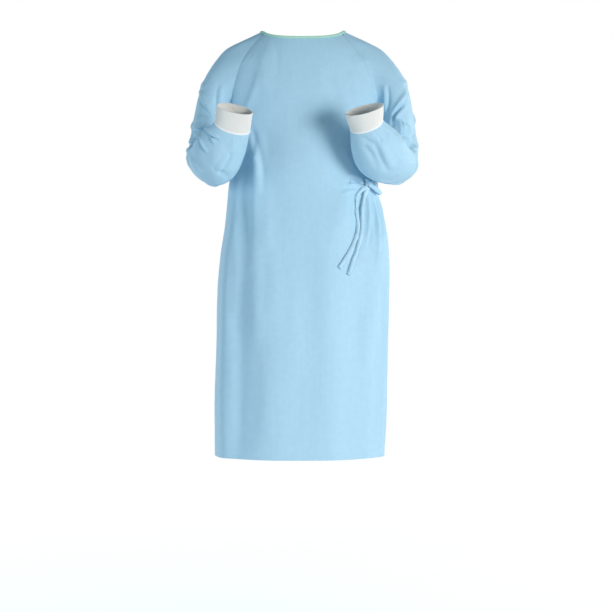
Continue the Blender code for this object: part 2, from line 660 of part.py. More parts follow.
def neck_path(sheets, normals):
    """Points, normals and upward directions along the whole neck edge, from lap edge to lap edge."""
    path = []

    def add(name, columns, last=True):
        sheet = sheets[name]
        i, inside = (-1, -2) if last else (0, 1)
        for j in columns:
            point, normal = sheet.points[i, j], unit(normals[name][i, j])
            up = unit(point - sheet.points[inside, j])
            if path and np.allclose(path[-1][0], point, atol=1e-6):
                path[-1] = (point, normal, unit(path[-1][2] + up))
            else:
                path.append((point, normal, up))

    across = range(BACK_COLUMNS + 1)
    add("back_panel_right", across)
    add("sleeve_right", range(YOKE_ROWS + NECK_STEPS, YOKE_ROWS - 1, -1), last=False)
    add("front_panel", range(FRONT_COLUMNS + 1))
    add("sleeve_left", range(YOKE_ROWS, YOKE_ROWS + NECK_STEPS + 1), last=False)
    add("back_panel_left", across)
    return path


def sweep(name, sections, material):
    """Closed solid through sections of equal count, capped at both ends."""
    mesh = bmesh.new()
    loops = [[mesh.verts.new(point) for point in points] for points in sections]
    count = len(loops[0])
    for first, second in zip(loops, loops[1:]):
        for j in range(count):
            k = (j + 1) % count
            mesh.faces.new((first[j], first[k], second[k], second[j]))
    mesh.faces.new(loops[0][::-1])
    mesh.faces.new(loops[-1])
    bmesh.ops.recalc_face_normals(mesh, faces=mesh.faces)
    if mesh.calc_volume(signed=True) < 0:
        bmesh.ops.reverse_faces(mesh, faces=mesh.faces)
    thing = finish_mesh(mesh, name)
    thing.data.materials.append(material)
    return thing


def build_binding(sheets, normals, material):
    """Tape folded over the neck edge, just clear of the cloth on both sides."""
    near = WALL / 2 + BINDING_CLEAR
    far = near + BINDING_WALL
    over = BINDING_CLEAR
    profile = (
        (near, -BINDING_DROP),
        (far, -BINDING_DROP),
        (far, over + BINDING_WALL),
        (-far, over + BINDING_WALL),
        (-far, -BINDING_DROP),
        (-near, -BINDING_DROP),
        (-near, over),
        (near, over),
    )
    sections = []
    for point, normal, up in neck_path(sheets, normals):
        sections.append([point + normal * out + up * rise for out, rise in profile])
    sweep("neck_binding", sections, material)


class Cloth:
    """A finished panel, asked where its outer face lies."""

    def __init__(self, things):
        self.trees = [BVHTree.FromObject(thing, bpy.context.evaluated_depsgraph_get()) for thing in things]

    def outermost(self, start, way):
        """Distance along a ray to the first cloth it meets."""
        hits = [tree.ray_cast(Vector(start), Vector(way)) for tree in self.trees]
        found = [hit for hit in hits if hit[0] is not None]
        return min(found, key=lambda hit: hit[3]) if found else None


def tape(name, centres, widths, normals, material, width=TIE_WIDTH, thick=TIE_THICK):
    """Flat tape along a route, given the way its width and its face point at each place."""
    sections = []
    for centre, across, out in zip(centres, widths, normals):
        side, face = across * width / 2, out * thick / 2
        inner, outer = centre - face, centre + face
        sections.append([inner - side, inner + side, outer + side, outer - side])
    return sweep(name, sections, material)


def route(points, steps):
    """More places on a smooth line through a few."""
    points = np.array(points, float)
    far = np.concatenate([[0], np.cumsum(np.linalg.norm(np.diff(points, axis=0), axis=1))])
    places = np.linspace(0, far[-1], steps)
    return np.stack([smooth(far, points[:, k], places) for k in range(points.shape[1])], axis=1)


def lying_tape(name, cloth, places, material, width=TIE_WIDTH, thick=TIE_THICK, lift=0.0, bridge=1):
    """Tape that lies on the cloth: rays square to it find the cloth under its width. It bridges hollows as
    short as `bridge` of its steps."""
    places = np.array(places, float)
    reach = 0.08
    facing = []
    for place in places:
        into = unit(np.array([-place[0], -place[1], 0.0]))
        normal = np.array(cloth.outermost(place - into * reach, into)[1])
        facing.append(-normal if normal @ into > 0 else normal)
    inward = [-unit(np.sum(facing[max(0, k - 2) : k + 3], axis=0)) for k in range(len(places))]
    ways = np.gradient(places, axis=0)
    seats, widths = [], []
    for place, way, into in zip(places, ways, inward):
        across = unit(np.cross(-into, way))
        starts = [place - into * reach + across * width * share for share in (-0.5, -0.25, 0.0, 0.25, 0.5)]
        seats.append(min(cloth.outermost(start, into)[3] for start in starts) - reach)
        widths.append(across)
    if bridge:
        seats = [min(seats[max(0, k - bridge) : k + bridge + 1]) for k in range(len(seats))]
        seats = [np.mean(seats[max(0, k - 1) : k + 2]) for k in range(len(seats))]
    rise = TIE_CLEAR + thick / 2 + lift
    centres = np.array([place + into * (seat - rise) for place, into, seat in zip(places, inward, seats)])
    ways = np.gradient(centres, axis=0)
    normals = [unit(np.cross(way, across)) for way, across in zip(ways, widths)]
    return tape(name, centres, widths, normals, material, width, thick)


def front_route(cloth, points, steps):
    """Places in space of a route that is given by X and height on the front."""
    places = route(points, steps)
    return [np.array(cloth.outermost((x, -0.5, height), (0, 1, 0))[0]) for x, height in places]


def round_route(points, steps):
    """Places in space of a route that is given by degrees round and height."""
    return [on_section(math.radians(degrees), height) for degrees, height in route(points, steps)]


def build_loop(loop, knot, material):
    """A flat loop of tape that leaves the knot and comes back to it."""
    way = unit(np.array(loop.way))
    out = unit(np.array([0.35, -0.94, 0.0]) - way * (np.array([0.35, -0.94, 0.0]) @ way))
    across = np.cross(way, out)
    root = knot + way * (1 / np.linalg.norm(way / np.array(KNOT_SIZE)) + TIE_CLEAR)
    first = math.radians(50)
    centres = []
    for turn in np.linspace(first, 2 * math.pi - first, 19):
        along = loop.length * (math.cos(first) - math.cos(turn)) / 2
        centres.append(root + way * along + out * loop.height * math.sin(turn) * math.sin(turn / 2))
    ways = np.gradient(np.array(centres), axis=0)
    normals = [unit(np.cross(way_here, across)) for way_here in ways]
    tape(loop.name, centres, [across] * len(centres), normals, material, loop.width)


def build_ties(materials):
    gown = materials["gown"]
    panels = [bpy.data.objects[name] for name in ("front_panel", "back_panel_left", "back_panel_right")]
    cloth = Cloth(panels)
    place, normal = cloth.outermost((KNOT_X, -0.5, KNOT_Z), (0, 1, 0))[:2]
    out = np.array(normal) if normal.y < 0 else -np.array(normal)
    centre = np.array(place) + out * (np.linalg.norm(out * KNOT_SIZE) + TIE_CLEAR)
    mesh = bmesh.new()
    bmesh.ops.create_uvsphere(mesh, u_segments=14, v_segments=8, radius=1.0)
    for vert in mesh.verts:
        vert.co = Vector(centre) + Vector(vert.co[k] * KNOT_SIZE[k] for k in range(3))
    knot = finish_mesh(mesh, "tie_knot")
    knot.data.materials.append(gown)
    for loop in LOOPS:
        build_loop(loop, centre, gown)
    lying_tape("tie_front", cloth, front_route(cloth, FRONT_TIE, 5), gown)
    lying_tape("tie_wrap", cloth, round_route(WRAP_TIE, 26), gown, bridge=2)
    first = lying_tape("tie_tail_front", cloth, front_route(cloth, TAIL_FRONT, 22), gown, TAIL_WIDTH)
    over = Cloth(panels + [first])
    lying_tape("tie_tail_wrap", over, front_route(cloth, TAIL_WRAP, 22), gown, TAIL_WIDTH)


def build_touch_tapes(material):
    """The two halves of the closure in the lap: one on the under back, one that meets it from outside."""
    under = Cloth([bpy.data.objects["back_panel_left"]])
    heights = np.linspace(TOUCH_TOP - TOUCH_LENGTH, TOUCH_TOP, 4)
    places = [on_section(around_at(TOUCH_X, height, at_back=True), height) for height in heights]
    lift = 0.0
    for name, thick in zip(("touch_tape_loop", "touch_tape_hook"), TOUCH_THICK):
        lying_tape(name, under, places, material, TOUCH_WIDTH, thick, lift, bridge=0)
        lift = thick + TIE_CLEAR


def clear_scene():
    for thing in list(bpy.data.objects):
        bpy.data.objects.remove(thing, do_unlink=True)


def main():
    clear_scene()
    materials = make_materials()
    sheets = build_sheets()
    normals = shared_normals(sheets)
    build_panels(sheets, normals, materials)
    build_binding(sheets, normals, materials["binding"])
    build_touch_tapes(materials["tape"])
    build_ties(materials)


main()
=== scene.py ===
# %% [markdown]
# # Dressing a surgical gown
#
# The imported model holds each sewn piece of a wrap-back surgical gown as a plain solid with a thick wall.
# This lesson turns those solids into thin nonwoven cloth with creases, knits the cuffs, folds the neck
# tape and ties the bow. Nothing is moved: each visible piece is grown from the solid that it stands for.

import json
import math
from collections import namedtuple

import bmesh
import bpy
import numpy as np
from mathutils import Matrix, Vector, noise
from mathutils.bvhtree import BVHTree
from mathutils.kdtree import KDTree

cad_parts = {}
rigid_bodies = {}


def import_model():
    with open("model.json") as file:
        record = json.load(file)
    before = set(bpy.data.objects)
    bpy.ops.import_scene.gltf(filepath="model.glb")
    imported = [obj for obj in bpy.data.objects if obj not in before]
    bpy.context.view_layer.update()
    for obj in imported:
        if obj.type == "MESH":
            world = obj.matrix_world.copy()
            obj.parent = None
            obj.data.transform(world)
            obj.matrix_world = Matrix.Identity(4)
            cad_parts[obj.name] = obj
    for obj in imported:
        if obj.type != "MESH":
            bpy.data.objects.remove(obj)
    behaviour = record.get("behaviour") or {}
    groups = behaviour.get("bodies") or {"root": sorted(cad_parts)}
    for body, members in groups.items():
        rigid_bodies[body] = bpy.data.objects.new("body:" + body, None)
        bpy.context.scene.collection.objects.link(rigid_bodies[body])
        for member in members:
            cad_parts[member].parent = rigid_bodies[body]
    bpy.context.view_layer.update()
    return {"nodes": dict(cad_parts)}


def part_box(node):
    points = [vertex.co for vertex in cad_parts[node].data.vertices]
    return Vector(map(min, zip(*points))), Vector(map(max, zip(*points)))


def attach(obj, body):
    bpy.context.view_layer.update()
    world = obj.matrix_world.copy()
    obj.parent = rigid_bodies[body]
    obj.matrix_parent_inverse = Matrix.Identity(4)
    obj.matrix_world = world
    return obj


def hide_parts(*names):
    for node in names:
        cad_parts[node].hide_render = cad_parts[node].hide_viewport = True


for thing in list(bpy.data.objects):
    bpy.data.objects.remove(thing, do_unlink=True)
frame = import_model()
nodes = frame["nodes"]
scene = bpy.context.scene
print("nodes:", ", ".join(sorted(nodes)))

# %% [markdown]
# ## Camera, light and floor
#
# A long lens at chest height keeps the gown's outline nearly free of perspective. The light is a broad
# soft key from the front right, a weaker fill from the far left and a dim blue room, so that creases show
# as gentle shading and nothing goes black. The camera sees the room as white. The floor is a pale disc that
# fades out towards its rim, so that no edge shows behind the gown.

# %% Camera
def add(name, data):
    made = bpy.data.objects.new(name, data)
    scene.collection.objects.link(made)
    return made


CAMERA_PLACE = Vector((0.00825, -4.5, -0.748))
SENSOR = 0.036
VIEW_WIDTH = 1.683

camera_data = bpy.data.cameras.new("camera")
camera_data.sensor_width = SENSOR * 1000
camera_data.lens = SENSOR * 1000 * -CAMERA_PLACE.y / VIEW_WIDTH
camera_data.clip_end = 60
camera = add("camera", camera_data)
camera.location = CAMERA_PLACE
camera.rotation_euler = (math.radians(90), 0, 0)
scene.camera = camera
print("lens", round(camera_data.lens, 1), "mm")

# %% Lights
Lamp = namedtuple("Lamp", "name place aim size spread watts colour")
LAMPS = (
    Lamp("key", (2.4, -2.9, -0.55), (0.12, 0.0, -0.60), 1.3, 72, 16.8, (1.0, 0.98, 0.95)),
    Lamp("fill", (-3.6, -1.2, -0.40), (0.0, 0.0, -0.60), 2.2, 180, 44, (0.86, 0.95, 1.0)),
    Lamp("rim_left", (2.8, 2.2, 0.3), (0.0, 0.0, -0.60), 1.2, 180, 46, (1.0, 1.0, 1.0)),
    Lamp("rim_right", (-2.0, 2.8, -0.4), (0.0, 0.0, -0.60), 2.4, 180, 22, (0.95, 0.98, 1.0)),
)
for lamp in LAMPS:
    light = bpy.data.lights.new(lamp.name, "AREA")
    light.shape = "SQUARE"
    light.size = lamp.size
    light.spread = math.radians(lamp.spread)
    light.energy = lamp.watts
    light.color = lamp.colour
    holder = add(lamp.name, light)
    holder.location = lamp.place
    holder.rotation_euler = (Vector(lamp.aim) - Vector(lamp.place)).to_track_quat("-Z", "Y").to_euler()

# %% Material helpers
def new_material(name):
    material = bpy.data.materials.new(name)
    material.use_nodes = True
    return material, material.node_tree, material.node_tree.nodes["Principled BSDF"]


def plug(tree, made, inputs):
    """Fills a node's inputs: a (node, output) pair is linked, and anything else is a constant."""
    for name, value in inputs.items():
        if isinstance(value, tuple) and isinstance(value[0], bpy.types.Node):
            tree.links.new(value[0].outputs[value[1]], made.inputs[name])
        else:
            made.inputs[name].default_value = value


def node(tree, kind, inputs=None, **settings):
    made = tree.nodes.new(kind)
    for name, value in settings.items():
        setattr(made, name, value)
    plug(tree, made, inputs or {})
    return made


def maths(tree, operation, *inputs):
    """The output of a math node."""
    return node(tree, "ShaderNodeMath", dict(enumerate(inputs)), operation=operation), "Value"


# %% The room: dim for the cloth, white behind it
ROOM = (0.62, 0.87, 1.0, 1.0)
ROOM_STRENGTH = 0.33
WALL_WHITE = (1.0, 1.0, 1.0, 1.0)

world = bpy.data.worlds.new("room")
world.use_nodes = True
world_tree = world.node_tree
lit = world_tree.nodes["Background"]
plug(world_tree, lit, {"Color": ROOM, "Strength": ROOM_STRENGTH})
seen = node(world_tree, "ShaderNodeBackground", {"Color": WALL_WHITE})
ray = node(world_tree, "ShaderNodeLightPath")
routes = {"Fac": (ray, "Is Camera Ray"), 1: (lit, "Background"), 2: (seen, "Background")}
either = node(world_tree, "ShaderNodeMixShader", routes)
plug(world_tree, world_tree.nodes["World Output"], {"Surface": (either, "Shader")})
scene.world = world
scene.view_settings.view_transform = "Standard"
scene.view_settings.look = "None"

# %% Floor
FLOOR_Z = -1.62
FLOOR_RADIUS = 2.2
FLOOR_SIDES = 96
FLOOR_WHITE = (0.95, 0.955, 0.96, 1.0)
FLOOR_GLOW = 0.45
FADE_FROM = 0.2

disc = bmesh.new()
bmesh.ops.create_circle(disc, cap_ends=True, segments=FLOOR_SIDES, radius=FLOOR_RADIUS)
bmesh.ops.translate(disc, verts=disc.verts, vec=(0, 0, FLOOR_Z))
floor_data = bpy.data.meshes.new("floor")
disc.to_mesh(floor_data)
disc.free()
floor = add("floor", floor_data)
card, tree, shader = new_material("pale_card")
spot = node(tree, "ShaderNodeTexCoord")
level = node(tree, "ShaderNodeMapping", {"Vector": (spot, "Object"), "Scale": (1.0, 1.0, 0.0)})
far = node(tree, "ShaderNodeVectorMath", {0: (level, "Vector")}, operation="LENGTH")
fading = {"From Min": FADE_FROM, "From Max": FLOOR_RADIUS, "To Min": 1.0, "To Max": 0.0}
fading["Value"] = (far, "Value")
fade = node(tree, "ShaderNodeMapRange", fading, interpolation_type="SMOOTHSTEP")
plug(tree, shader, {
    "Base Color": FLOOR_WHITE, "Roughness": 0.9, "Alpha": (fade, "Result"),
    "Emission Color": FLOOR_WHITE, "Emission Strength": FLOOR_GLOW,
})
floor.data.materials.append(card)

# %% [markdown]
# ## Finding the cloth in a solid
#
# A solid's wall has an outer skin, an inner skin and a rim. Only the outer skin is the cloth. Each piece
# of the gown runs round a line, the body's axis or the middle of an arm, so a face belongs to the outer
# skin where it looks away from that line. Every point takes a vote from the faces round it, weighted by
# their size, which keeps the narrow rim from having a say. The skin that is left is a coarse cage, and two
# or three subdivisions turn it into smooth cloth.

# %% Rows of vectors
TINY = 1e-12


def unit(vectors):
    return vectors / np.maximum(np.linalg.norm(vectors, axis=-1, keepdims=True), TINY)


def square_to(ways, vectors):
    """The parts of the vectors that are square to the ways, made one long."""
    return unit(vectors - ways * (vectors * ways).sum(axis=-1, keepdims=True))


def run_along(points):
    """How far along a chain of points each one is."""
    return np.concatenate([[0], np.cumsum(np.linalg.norm(np.diff(points, axis=0), axis=1))])


# %% Lines that the pieces run round
BODY_AXIS = ((0.0, 0.0, -1.25), (0.0, 0.0, 0.02))
LEFT_ARM = (
    (0.130, 0.000, -0.150), (0.220, 0.000, -0.170), (0.255, -0.020, -0.260), (0.255, -0.060, -0.345),
    (0.235, -0.130, -0.365), (0.195, -0.200, -0.330), (0.165, -0.250, -0.280), (0.160, -0.280, -0.225),
)
RIGHT_ARM = (
    (-0.130, 0.000, -0.150), (-0.220, 0.000, -0.170), (-0.255, -0.020, -0.260), (-0.255, -0.060, -0.345),
    (-0.240, -0.130, -0.360), (-0.215, -0.200, -0.330), (-0.185, -0.250, -0.280), (-0.178, -0.280, -0.225),
)


def beside(line, points):
    """For each point, the nearest place on the line, how far along it that is, and the line's way there."""
    line = np.array(line, float)
    runs = np.linalg.norm(np.diff(line, axis=0), axis=1)
    reached = np.concatenate([[0], np.cumsum(runs)])
    nearest = np.full(len(points), np.inf)
    places = np.zeros((len(points), 3))
    along = np.zeros(len(points))
    ways = np.zeros((len(points), 3))
    for k, run in enumerate(runs):
        way = (line[k + 1] - line[k]) / run
        share = np.clip((points - line[k]) @ way, 0, run)
        here = line[k] + share[:, None] * way
        off = np.linalg.norm(points - here, axis=1)
        closer = off < nearest
        nearest[closer] = off[closer]
        places[closer] = here[closer]
        along[closer] = reached[k] + share[closer]
        ways[closer] = way
    return places, along, ways


# %% Cut the outer skin free
MERGE = 0.00002


def merged_copy(name):
    """The node's mesh as a bmesh, with its loose triangles joined into quads."""
    mesh = bmesh.new()
    mesh.from_mesh(nodes[name].data)
    bmesh.ops.remove_doubles(mesh, verts=mesh.verts, dist=MERGE)
    widest = {"angle_face_threshold": math.pi, "angle_shape_threshold": math.pi}
    bmesh.ops.join_triangles(mesh, faces=mesh.faces, **widest)
    return mesh


def outer_skin(name, line):
    mesh = merged_copy(name)
    centres = np.array([face.calc_center_median() for face in mesh.faces])
    places, _, _ = beside(line, centres)
    votes = dict.fromkeys(mesh.verts, 0.0)
    for face, out in zip(mesh.faces, unit(centres - places)):
        vote = face.normal.dot(Vector(out)) * face.calc_area()
        for vert in face.verts:
            votes[vert] += vote
    inner = [vert for vert, vote in votes.items() if vote <= 0]
    bmesh.ops.delete(mesh, geom=inner, context="VERTS")
    return mesh


def finish_mesh(mesh, name, levels=0):
    """Object from a bmesh, subdivided smoothly and with the result kept as plain mesh."""
    data = bpy.data.meshes.new(name)
    mesh.to_mesh(data)
    mesh.free()
    thing = add(name, data)
    if levels:
        smooth = thing.modifiers.new("smooth", "SUBSURF")
        smooth.levels = smooth.render_levels = levels
        smooth.boundary_smooth = "PRESERVE_CORNERS"
        apply_modifiers(thing)
    thing.data.shade_smooth()
    return thing


def apply_modifiers(thing):
    graph = bpy.context.evaluated_depsgraph_get()
    done = bpy.data.meshes.new_from_object(thing.evaluated_get(graph))
    old = thing.data
    thing.modifiers.clear()
    thing.data = done
    thing.data.name = thing.name
    bpy.data.meshes.remove(old)


def points_of(thing, what="co"):
    values = np.empty(len(thing.data.vertices) * 3)
    thing.data.vertices.foreach_get(what, values)
    return values.reshape(-1, 3)


def normals_of(thing):
    return points_of(thing, "normal")


def set_points(thing, places):
    thing.data.vertices.foreach_set("co", places.reshape(-1))
    thing.data.update()


def surface_of(thing):
    return BVHTree.FromObject(thing, bpy.context.evaluated_depsgraph_get())


def corners_of(thing):
    """The point that each face corner is at."""
    corner = np.empty(len(thing.data.loops), int)
    thing.data.loops.foreach_get("vertex_index", corner)
    return corner


def write_uv(thing, u, v):
    layer = thing.data.uv_layers.new(name="cloth")
    layer.data.foreach_set("uv", np.stack([u, v], axis=1).reshape(-1))


def dress(thing, material, slot, *stands_for):
    """Gives a finished piece its material and its body, and hides the nodes that it stands for. The slot is
    not used.
    """
    thing.data.materials.clear()
    thing.data.materials.append(material)
    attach(thing, "root")
    if stands_for:
        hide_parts(*stands_for)
    print(thing.name, len(thing.data.polygons), "faces")
    return thing


# %% [markdown]
# ## Creases
#
# Nonwoven cloth is crisp: it does not drape in long waves as cotton does, but breaks into short shallow
# creases where it is pushed together, at the crook of the arm and round the tie, and stays flat between.
# Each crease here is a short line drawn on the gown from one side, in metres. Rays carry the line onto the
# cloth, and the points near it move along the cloth's own normal. A `soft` crease is a rounded ridge or,
# with a negative depth, a trough. A `tuck` has a ridge on one side of its line and a trough on the other,
# as cloth has where it folds over itself. A `fold` is a tuck whose ridge also leans over its trough, so
# that a real shadow gap opens under it. Walking from the start of a line to its end, the ridge is on the
# right.

# %% Draw a crease on the cloth
Crease = namedtuple("Crease", "side start end width depth kind")
# For each side that a line is drawn from: the two axes it is drawn on, and the way that its rays go.
SIDES = {
    "front": ((0, 2), (0, 1, 0)),
    "back": ((0, 2), (0, -1, 0)),
    "left": ((1, 2), (-1, 0, 0)),
    "right": ((1, 2), (1, 0, 0)),
    "below": ((0, 1), (0, 0, 1)),
}
CREASE_STEPS = 22
CREASE_BOW = 0.05
LEAST_RUN, MOST_RUN = 0.000001, 0.05
END_EASE = 0.6
# Humps across a crease, measured in widths from its line: place, sharpness and height.
ROUND = (0.0, 1.0, 1.0)
RIDGE = (0.55, 2.2, 1.0)
TROUGH = (-0.35, 4.0, -0.8)
CREVICE = (-0.22, 9.0, -0.55)
LEANING = (0.45, 3.2, 1.05)
RAY_START = 2.0
MM = 0.001


def crease_line(tree, crease):
    """Places on the cloth under a crease's line, which bows a little to one side."""
    (first, second), way = SIDES[crease.side]
    start, end = np.array(crease.start, float), np.array(crease.end, float)
    aside = np.array([start[1] - end[1], end[0] - start[0]]) * CREASE_BOW
    found = []
    for share in np.linspace(0, 1, CREASE_STEPS):
        spot = start + (end - start) * share + aside * 4 * share * (1 - share)
        origin = -Vector(way) * RAY_START
        origin[first], origin[second] = spot
        hit = tree.ray_cast(origin, Vector(way))
        if hit[0] is not None:
            found.append((share, *hit[0]))
    return np.array(found)


def near_line(places, normals, route, shares):
    """For each point: distance to the line, place along it, and the way across it along the cloth."""
    best = np.full(len(places), np.inf)
    at = np.zeros(len(places))
    across = np.zeros((len(places), 3))
    signed = np.zeros(len(places))
    for k in range(len(route) - 1):
        run = route[k + 1] - route[k]
        length = np.linalg.norm(run)
        if length < LEAST_RUN or length > MOST_RUN:
            continue
        way = run / length
        share = np.clip((places - route[k]) @ way, 0, length)
        off = places - (route[k] + share[:, None] * way)
        far = np.linalg.norm(off, axis=1)
        closer = far < best
        best[closer] = far[closer]
        at[closer] = shares[k] + (shares[k + 1] - shares[k]) * share[closer] / length
        across[closer] = np.cross(way, normals[closer])
        signed[closer] = np.sign((across[closer] * off[closer]).sum(axis=1)) * far[closer]
    return best, at, across, signed


def hump(reach, place, sharpness, height):
    return height * np.exp(-sharpness * (reach - place) ** 2)


def crease_move(places, normals, line, crease):
    """Where each point goes for one crease."""
    best, at, across, signed = near_line(places, normals, line[:, 1:], line[:, 0])
    ease = np.clip(np.sin(np.pi * np.clip(at, 0, 1)), 0, 1) ** END_EASE
    reach = signed / crease.width
    lean = np.zeros(len(places))
    if crease.kind == "soft":
        shape = hump(best / crease.width, *ROUND)
    else:
        shape = hump(reach, *RIDGE) + hump(reach, *TROUGH)
    if crease.kind == "fold":
        shape += hump(reach, *CREVICE)
        lean = crease.width * hump(reach, *LEANING)
    return normals * (crease.depth * ease * shape)[:, None] - across * (lean * ease)[:, None]


def crease_table(**sides):
    """Creases from rows of start, end, width and depth, all in millimetres, and kind, for each side."""
    creases = []
    for side, rows in sides.items():
        for *sizes, kind in rows:
            a, b, c, d, width, depth = [size * MM for size in sizes]
            creases.append(Crease(side, (a, b), (c, d), width, depth, kind))
    return creases


def creased(thing, creases):
    """The sum of all the moves that a piece's creases ask of its points."""
    tree = surface_of(thing)
    places, normals = points_of(thing), normals_of(thing)
    move = np.zeros((len(places), 3))
    for crease in creases:
        line = crease_line(tree, crease)
        if len(line) > 1:
            move += crease_move(places, normals, line, crease)
    return move


# %% [markdown]
# Between the creases, real cloth is never quite flat. Slow noise, a millimetre high, gives it the small
# unevenness that catches soft light. Points at a sewn edge move less, because the seam holds them.

# %% Unevenness and held edges
def rim_points(thing):
    mesh = bmesh.new()
    mesh.from_mesh(thing.data)
    rim = np.array([vert.co[:] for vert in mesh.verts if vert.is_boundary])
    mesh.free()
    return rim


def rim_loops(thing):
    """Places in order round each open edge of a sheet, with the way in from the edge."""
    mesh = bmesh.new()
    mesh.from_mesh(thing.data)
    seen, loops = set(), []
    for first in mesh.edges:
        if not first.is_boundary or first.index in seen:
            continue
        seen.add(first.index)
        chain = [first.verts[0], first.verts[1]]
        while chain[-1] != chain[0]:
            onward = [e for e in chain[-1].link_edges if e.is_boundary and e.index not in seen]
            if not onward:
                break
            seen.add(onward[0].index)
            chain.append(onward[0].other_vert(chain[-1]))
        places = np.array([vert.co[:] for vert in chain])
        nearby = [[face.calc_center_median()[:] for face in vert.link_faces] for vert in chain]
        loops.append((places, np.array([np.mean(middles, axis=0) for middles in nearby]) - places))
    mesh.free()
    return loops


def tree_of(points):
    tree = KDTree(len(points))
    for k, place in enumerate(points):
        tree.insert(place, k)
    tree.balance()
    return tree


def nearest(tree, points):
    return np.array([tree.find(place)[2] for place in points])


UNEVEN_HEIGHT = 0.0016
UNEVEN_SPREAD = 0.085
UNEVEN_SHIFT = Vector((6.29, 2.21, 3.57))
# The slow noise is drawn out along the drop of the cloth, and a finer one lies on it.
UNEVEN_DROP = 0.45
FINE_SCALE, FINE_SHARE = 2.6, 0.35


def unevenness(places):
    """Height of slow noise at each place, the same for every piece, so that seams stay shut."""
    rise = np.empty(len(places))
    for k, place in enumerate(places):
        spot = Vector(place) / UNEVEN_SPREAD
        tall = Vector((spot.x, spot.y, spot.z * UNEVEN_DROP))
        fine = noise.noise(spot * FINE_SCALE + UNEVEN_SHIFT)
        rise[k] = noise.noise(tall + UNEVEN_SHIFT) + FINE_SHARE * fine
    return rise * UNEVEN_HEIGHT


SEAM_PINCH = 0.0005
SEAM_REACH = 0.0035
SEAM_SHARE = 0.15
HELD_REACH = 0.028
CLOTH_THICK = 0.0007
SHARP_EDGE = math.radians(60)


def thicken(thing, thick=CLOTH_THICK):
    wall = thing.modifiers.new("wall", "SOLIDIFY")
    wall.thickness = thick
    wall.offset = -1
    wall.use_even_offset = False
    apply_modifiers(thing)
    thing.data.shade_smooth()
    thing.data.set_sharp_from_angle(angle=SHARP_EDGE)


# %% [markdown]
# ## Crease tables
#
# The arms are bent hard, so the sleeves hold most creases: pleats that fan from the crook, tucks over the
# forearm just below the cuff, and slack folds under the elbow. On the body a few long folds fall from the
# chest and from the tie, which pulls the waist in at the wearer's left. Lengths, depths and spacing are
# uneven on purpose.

# %% Creases of the body
FRONT_CREASES = crease_table(
    front=(
        (-88, -24, -74, -128, 17, 1.3, "tuck"), (-145, -262, -112, -450, 18, 4.6, "tuck"),
        (-114, -400, -98, -600, 17, 3.6, "soft"), (-104, -520, -80, -790, 21, 3.6, "soft"),
        (-139, -272, -133, -350, 9, -5.6, "soft"), (-168, -420, -152, -640, 16, -4, "soft"),
        (-192, -520, -188, -800, 16, 3.8, "soft"), (-40, -640, -30, -960, 26, 2.8, "soft"),
        (38, -560, 50, -860, 26, 2.6, "soft"),
        (118, -422.5, 172, -427, 6.2, 9, "fold"),
        (110, -398, 168, -411, 7.5, 3.6, "soft"), (98, -446, 160, -432, 8, 3.8, "tuck"),
        (160, -436, 126, -520, 8, -3.6, "soft"), (178, -436, 171, -590, 7.5, 4.2, "tuck"),
        (186, -436, 190, -560, 7, -4.6, "soft"), (190, -440, 204, -640, 8.5, 4.8, "tuck"),
        (200, -440, 219, -580, 8, 5, "tuck"), (146, -470, 141, -560, 7, -3, "soft"),
        (152, -570, 112, -655, 9, -3, "soft"), (158, -405, 106, -320, 12, 3.4, "soft"),
        (58, -110, 104, -250, 18, -3.4, "soft"), (120, -120, 152, -240, 12, 3, "soft"),
        (-120, -115, -160, -235, 12, 3.4, "soft"), (-206, -760, -208, -1150, 20, 3.6, "soft"),
        (150, -700, 160, -1120, 22, 3.2, "soft"), (200, -660, 206, -900, 15, -3, "soft"),
        (-110, -860, -118, -1152, 24, 3, "soft"),
    ),
)
BACK_CREASES = crease_table(
    back=(
        (70, -100, 58, -300, 15, 5.4, "tuck"), (-80, -90, -62, -280, 14, 5.4, "tuck"),
        (-130, -190, -110, -390, 16, 6.6, "soft"), (140, -210, 125, -390, 15, 6, "soft"),
        (10, -330, -16, -520, 14, -5.4, "soft"), (-150, -400, -155, -700, 16, 6.9, "tuck"),
        (100, -430, 120, -760, 18, 6, "soft"), (-60, -480, -50, -900, 20, 5.4, "soft"),
        (40, -660, 50, -1120, 22, 5.1, "soft"), (-120, -760, -130, -1140, 20, 5.4, "soft"),
        (180, -560, 190, -960, 18, -5.4, "soft"), (155, -405, 60, -380, 10, 4.5, "tuck"),
        (-190, -395, -120, -372, 9, 5.1, "tuck"), (-186, -450, -160, -560, 11, -5.4, "soft"),
    ),
)

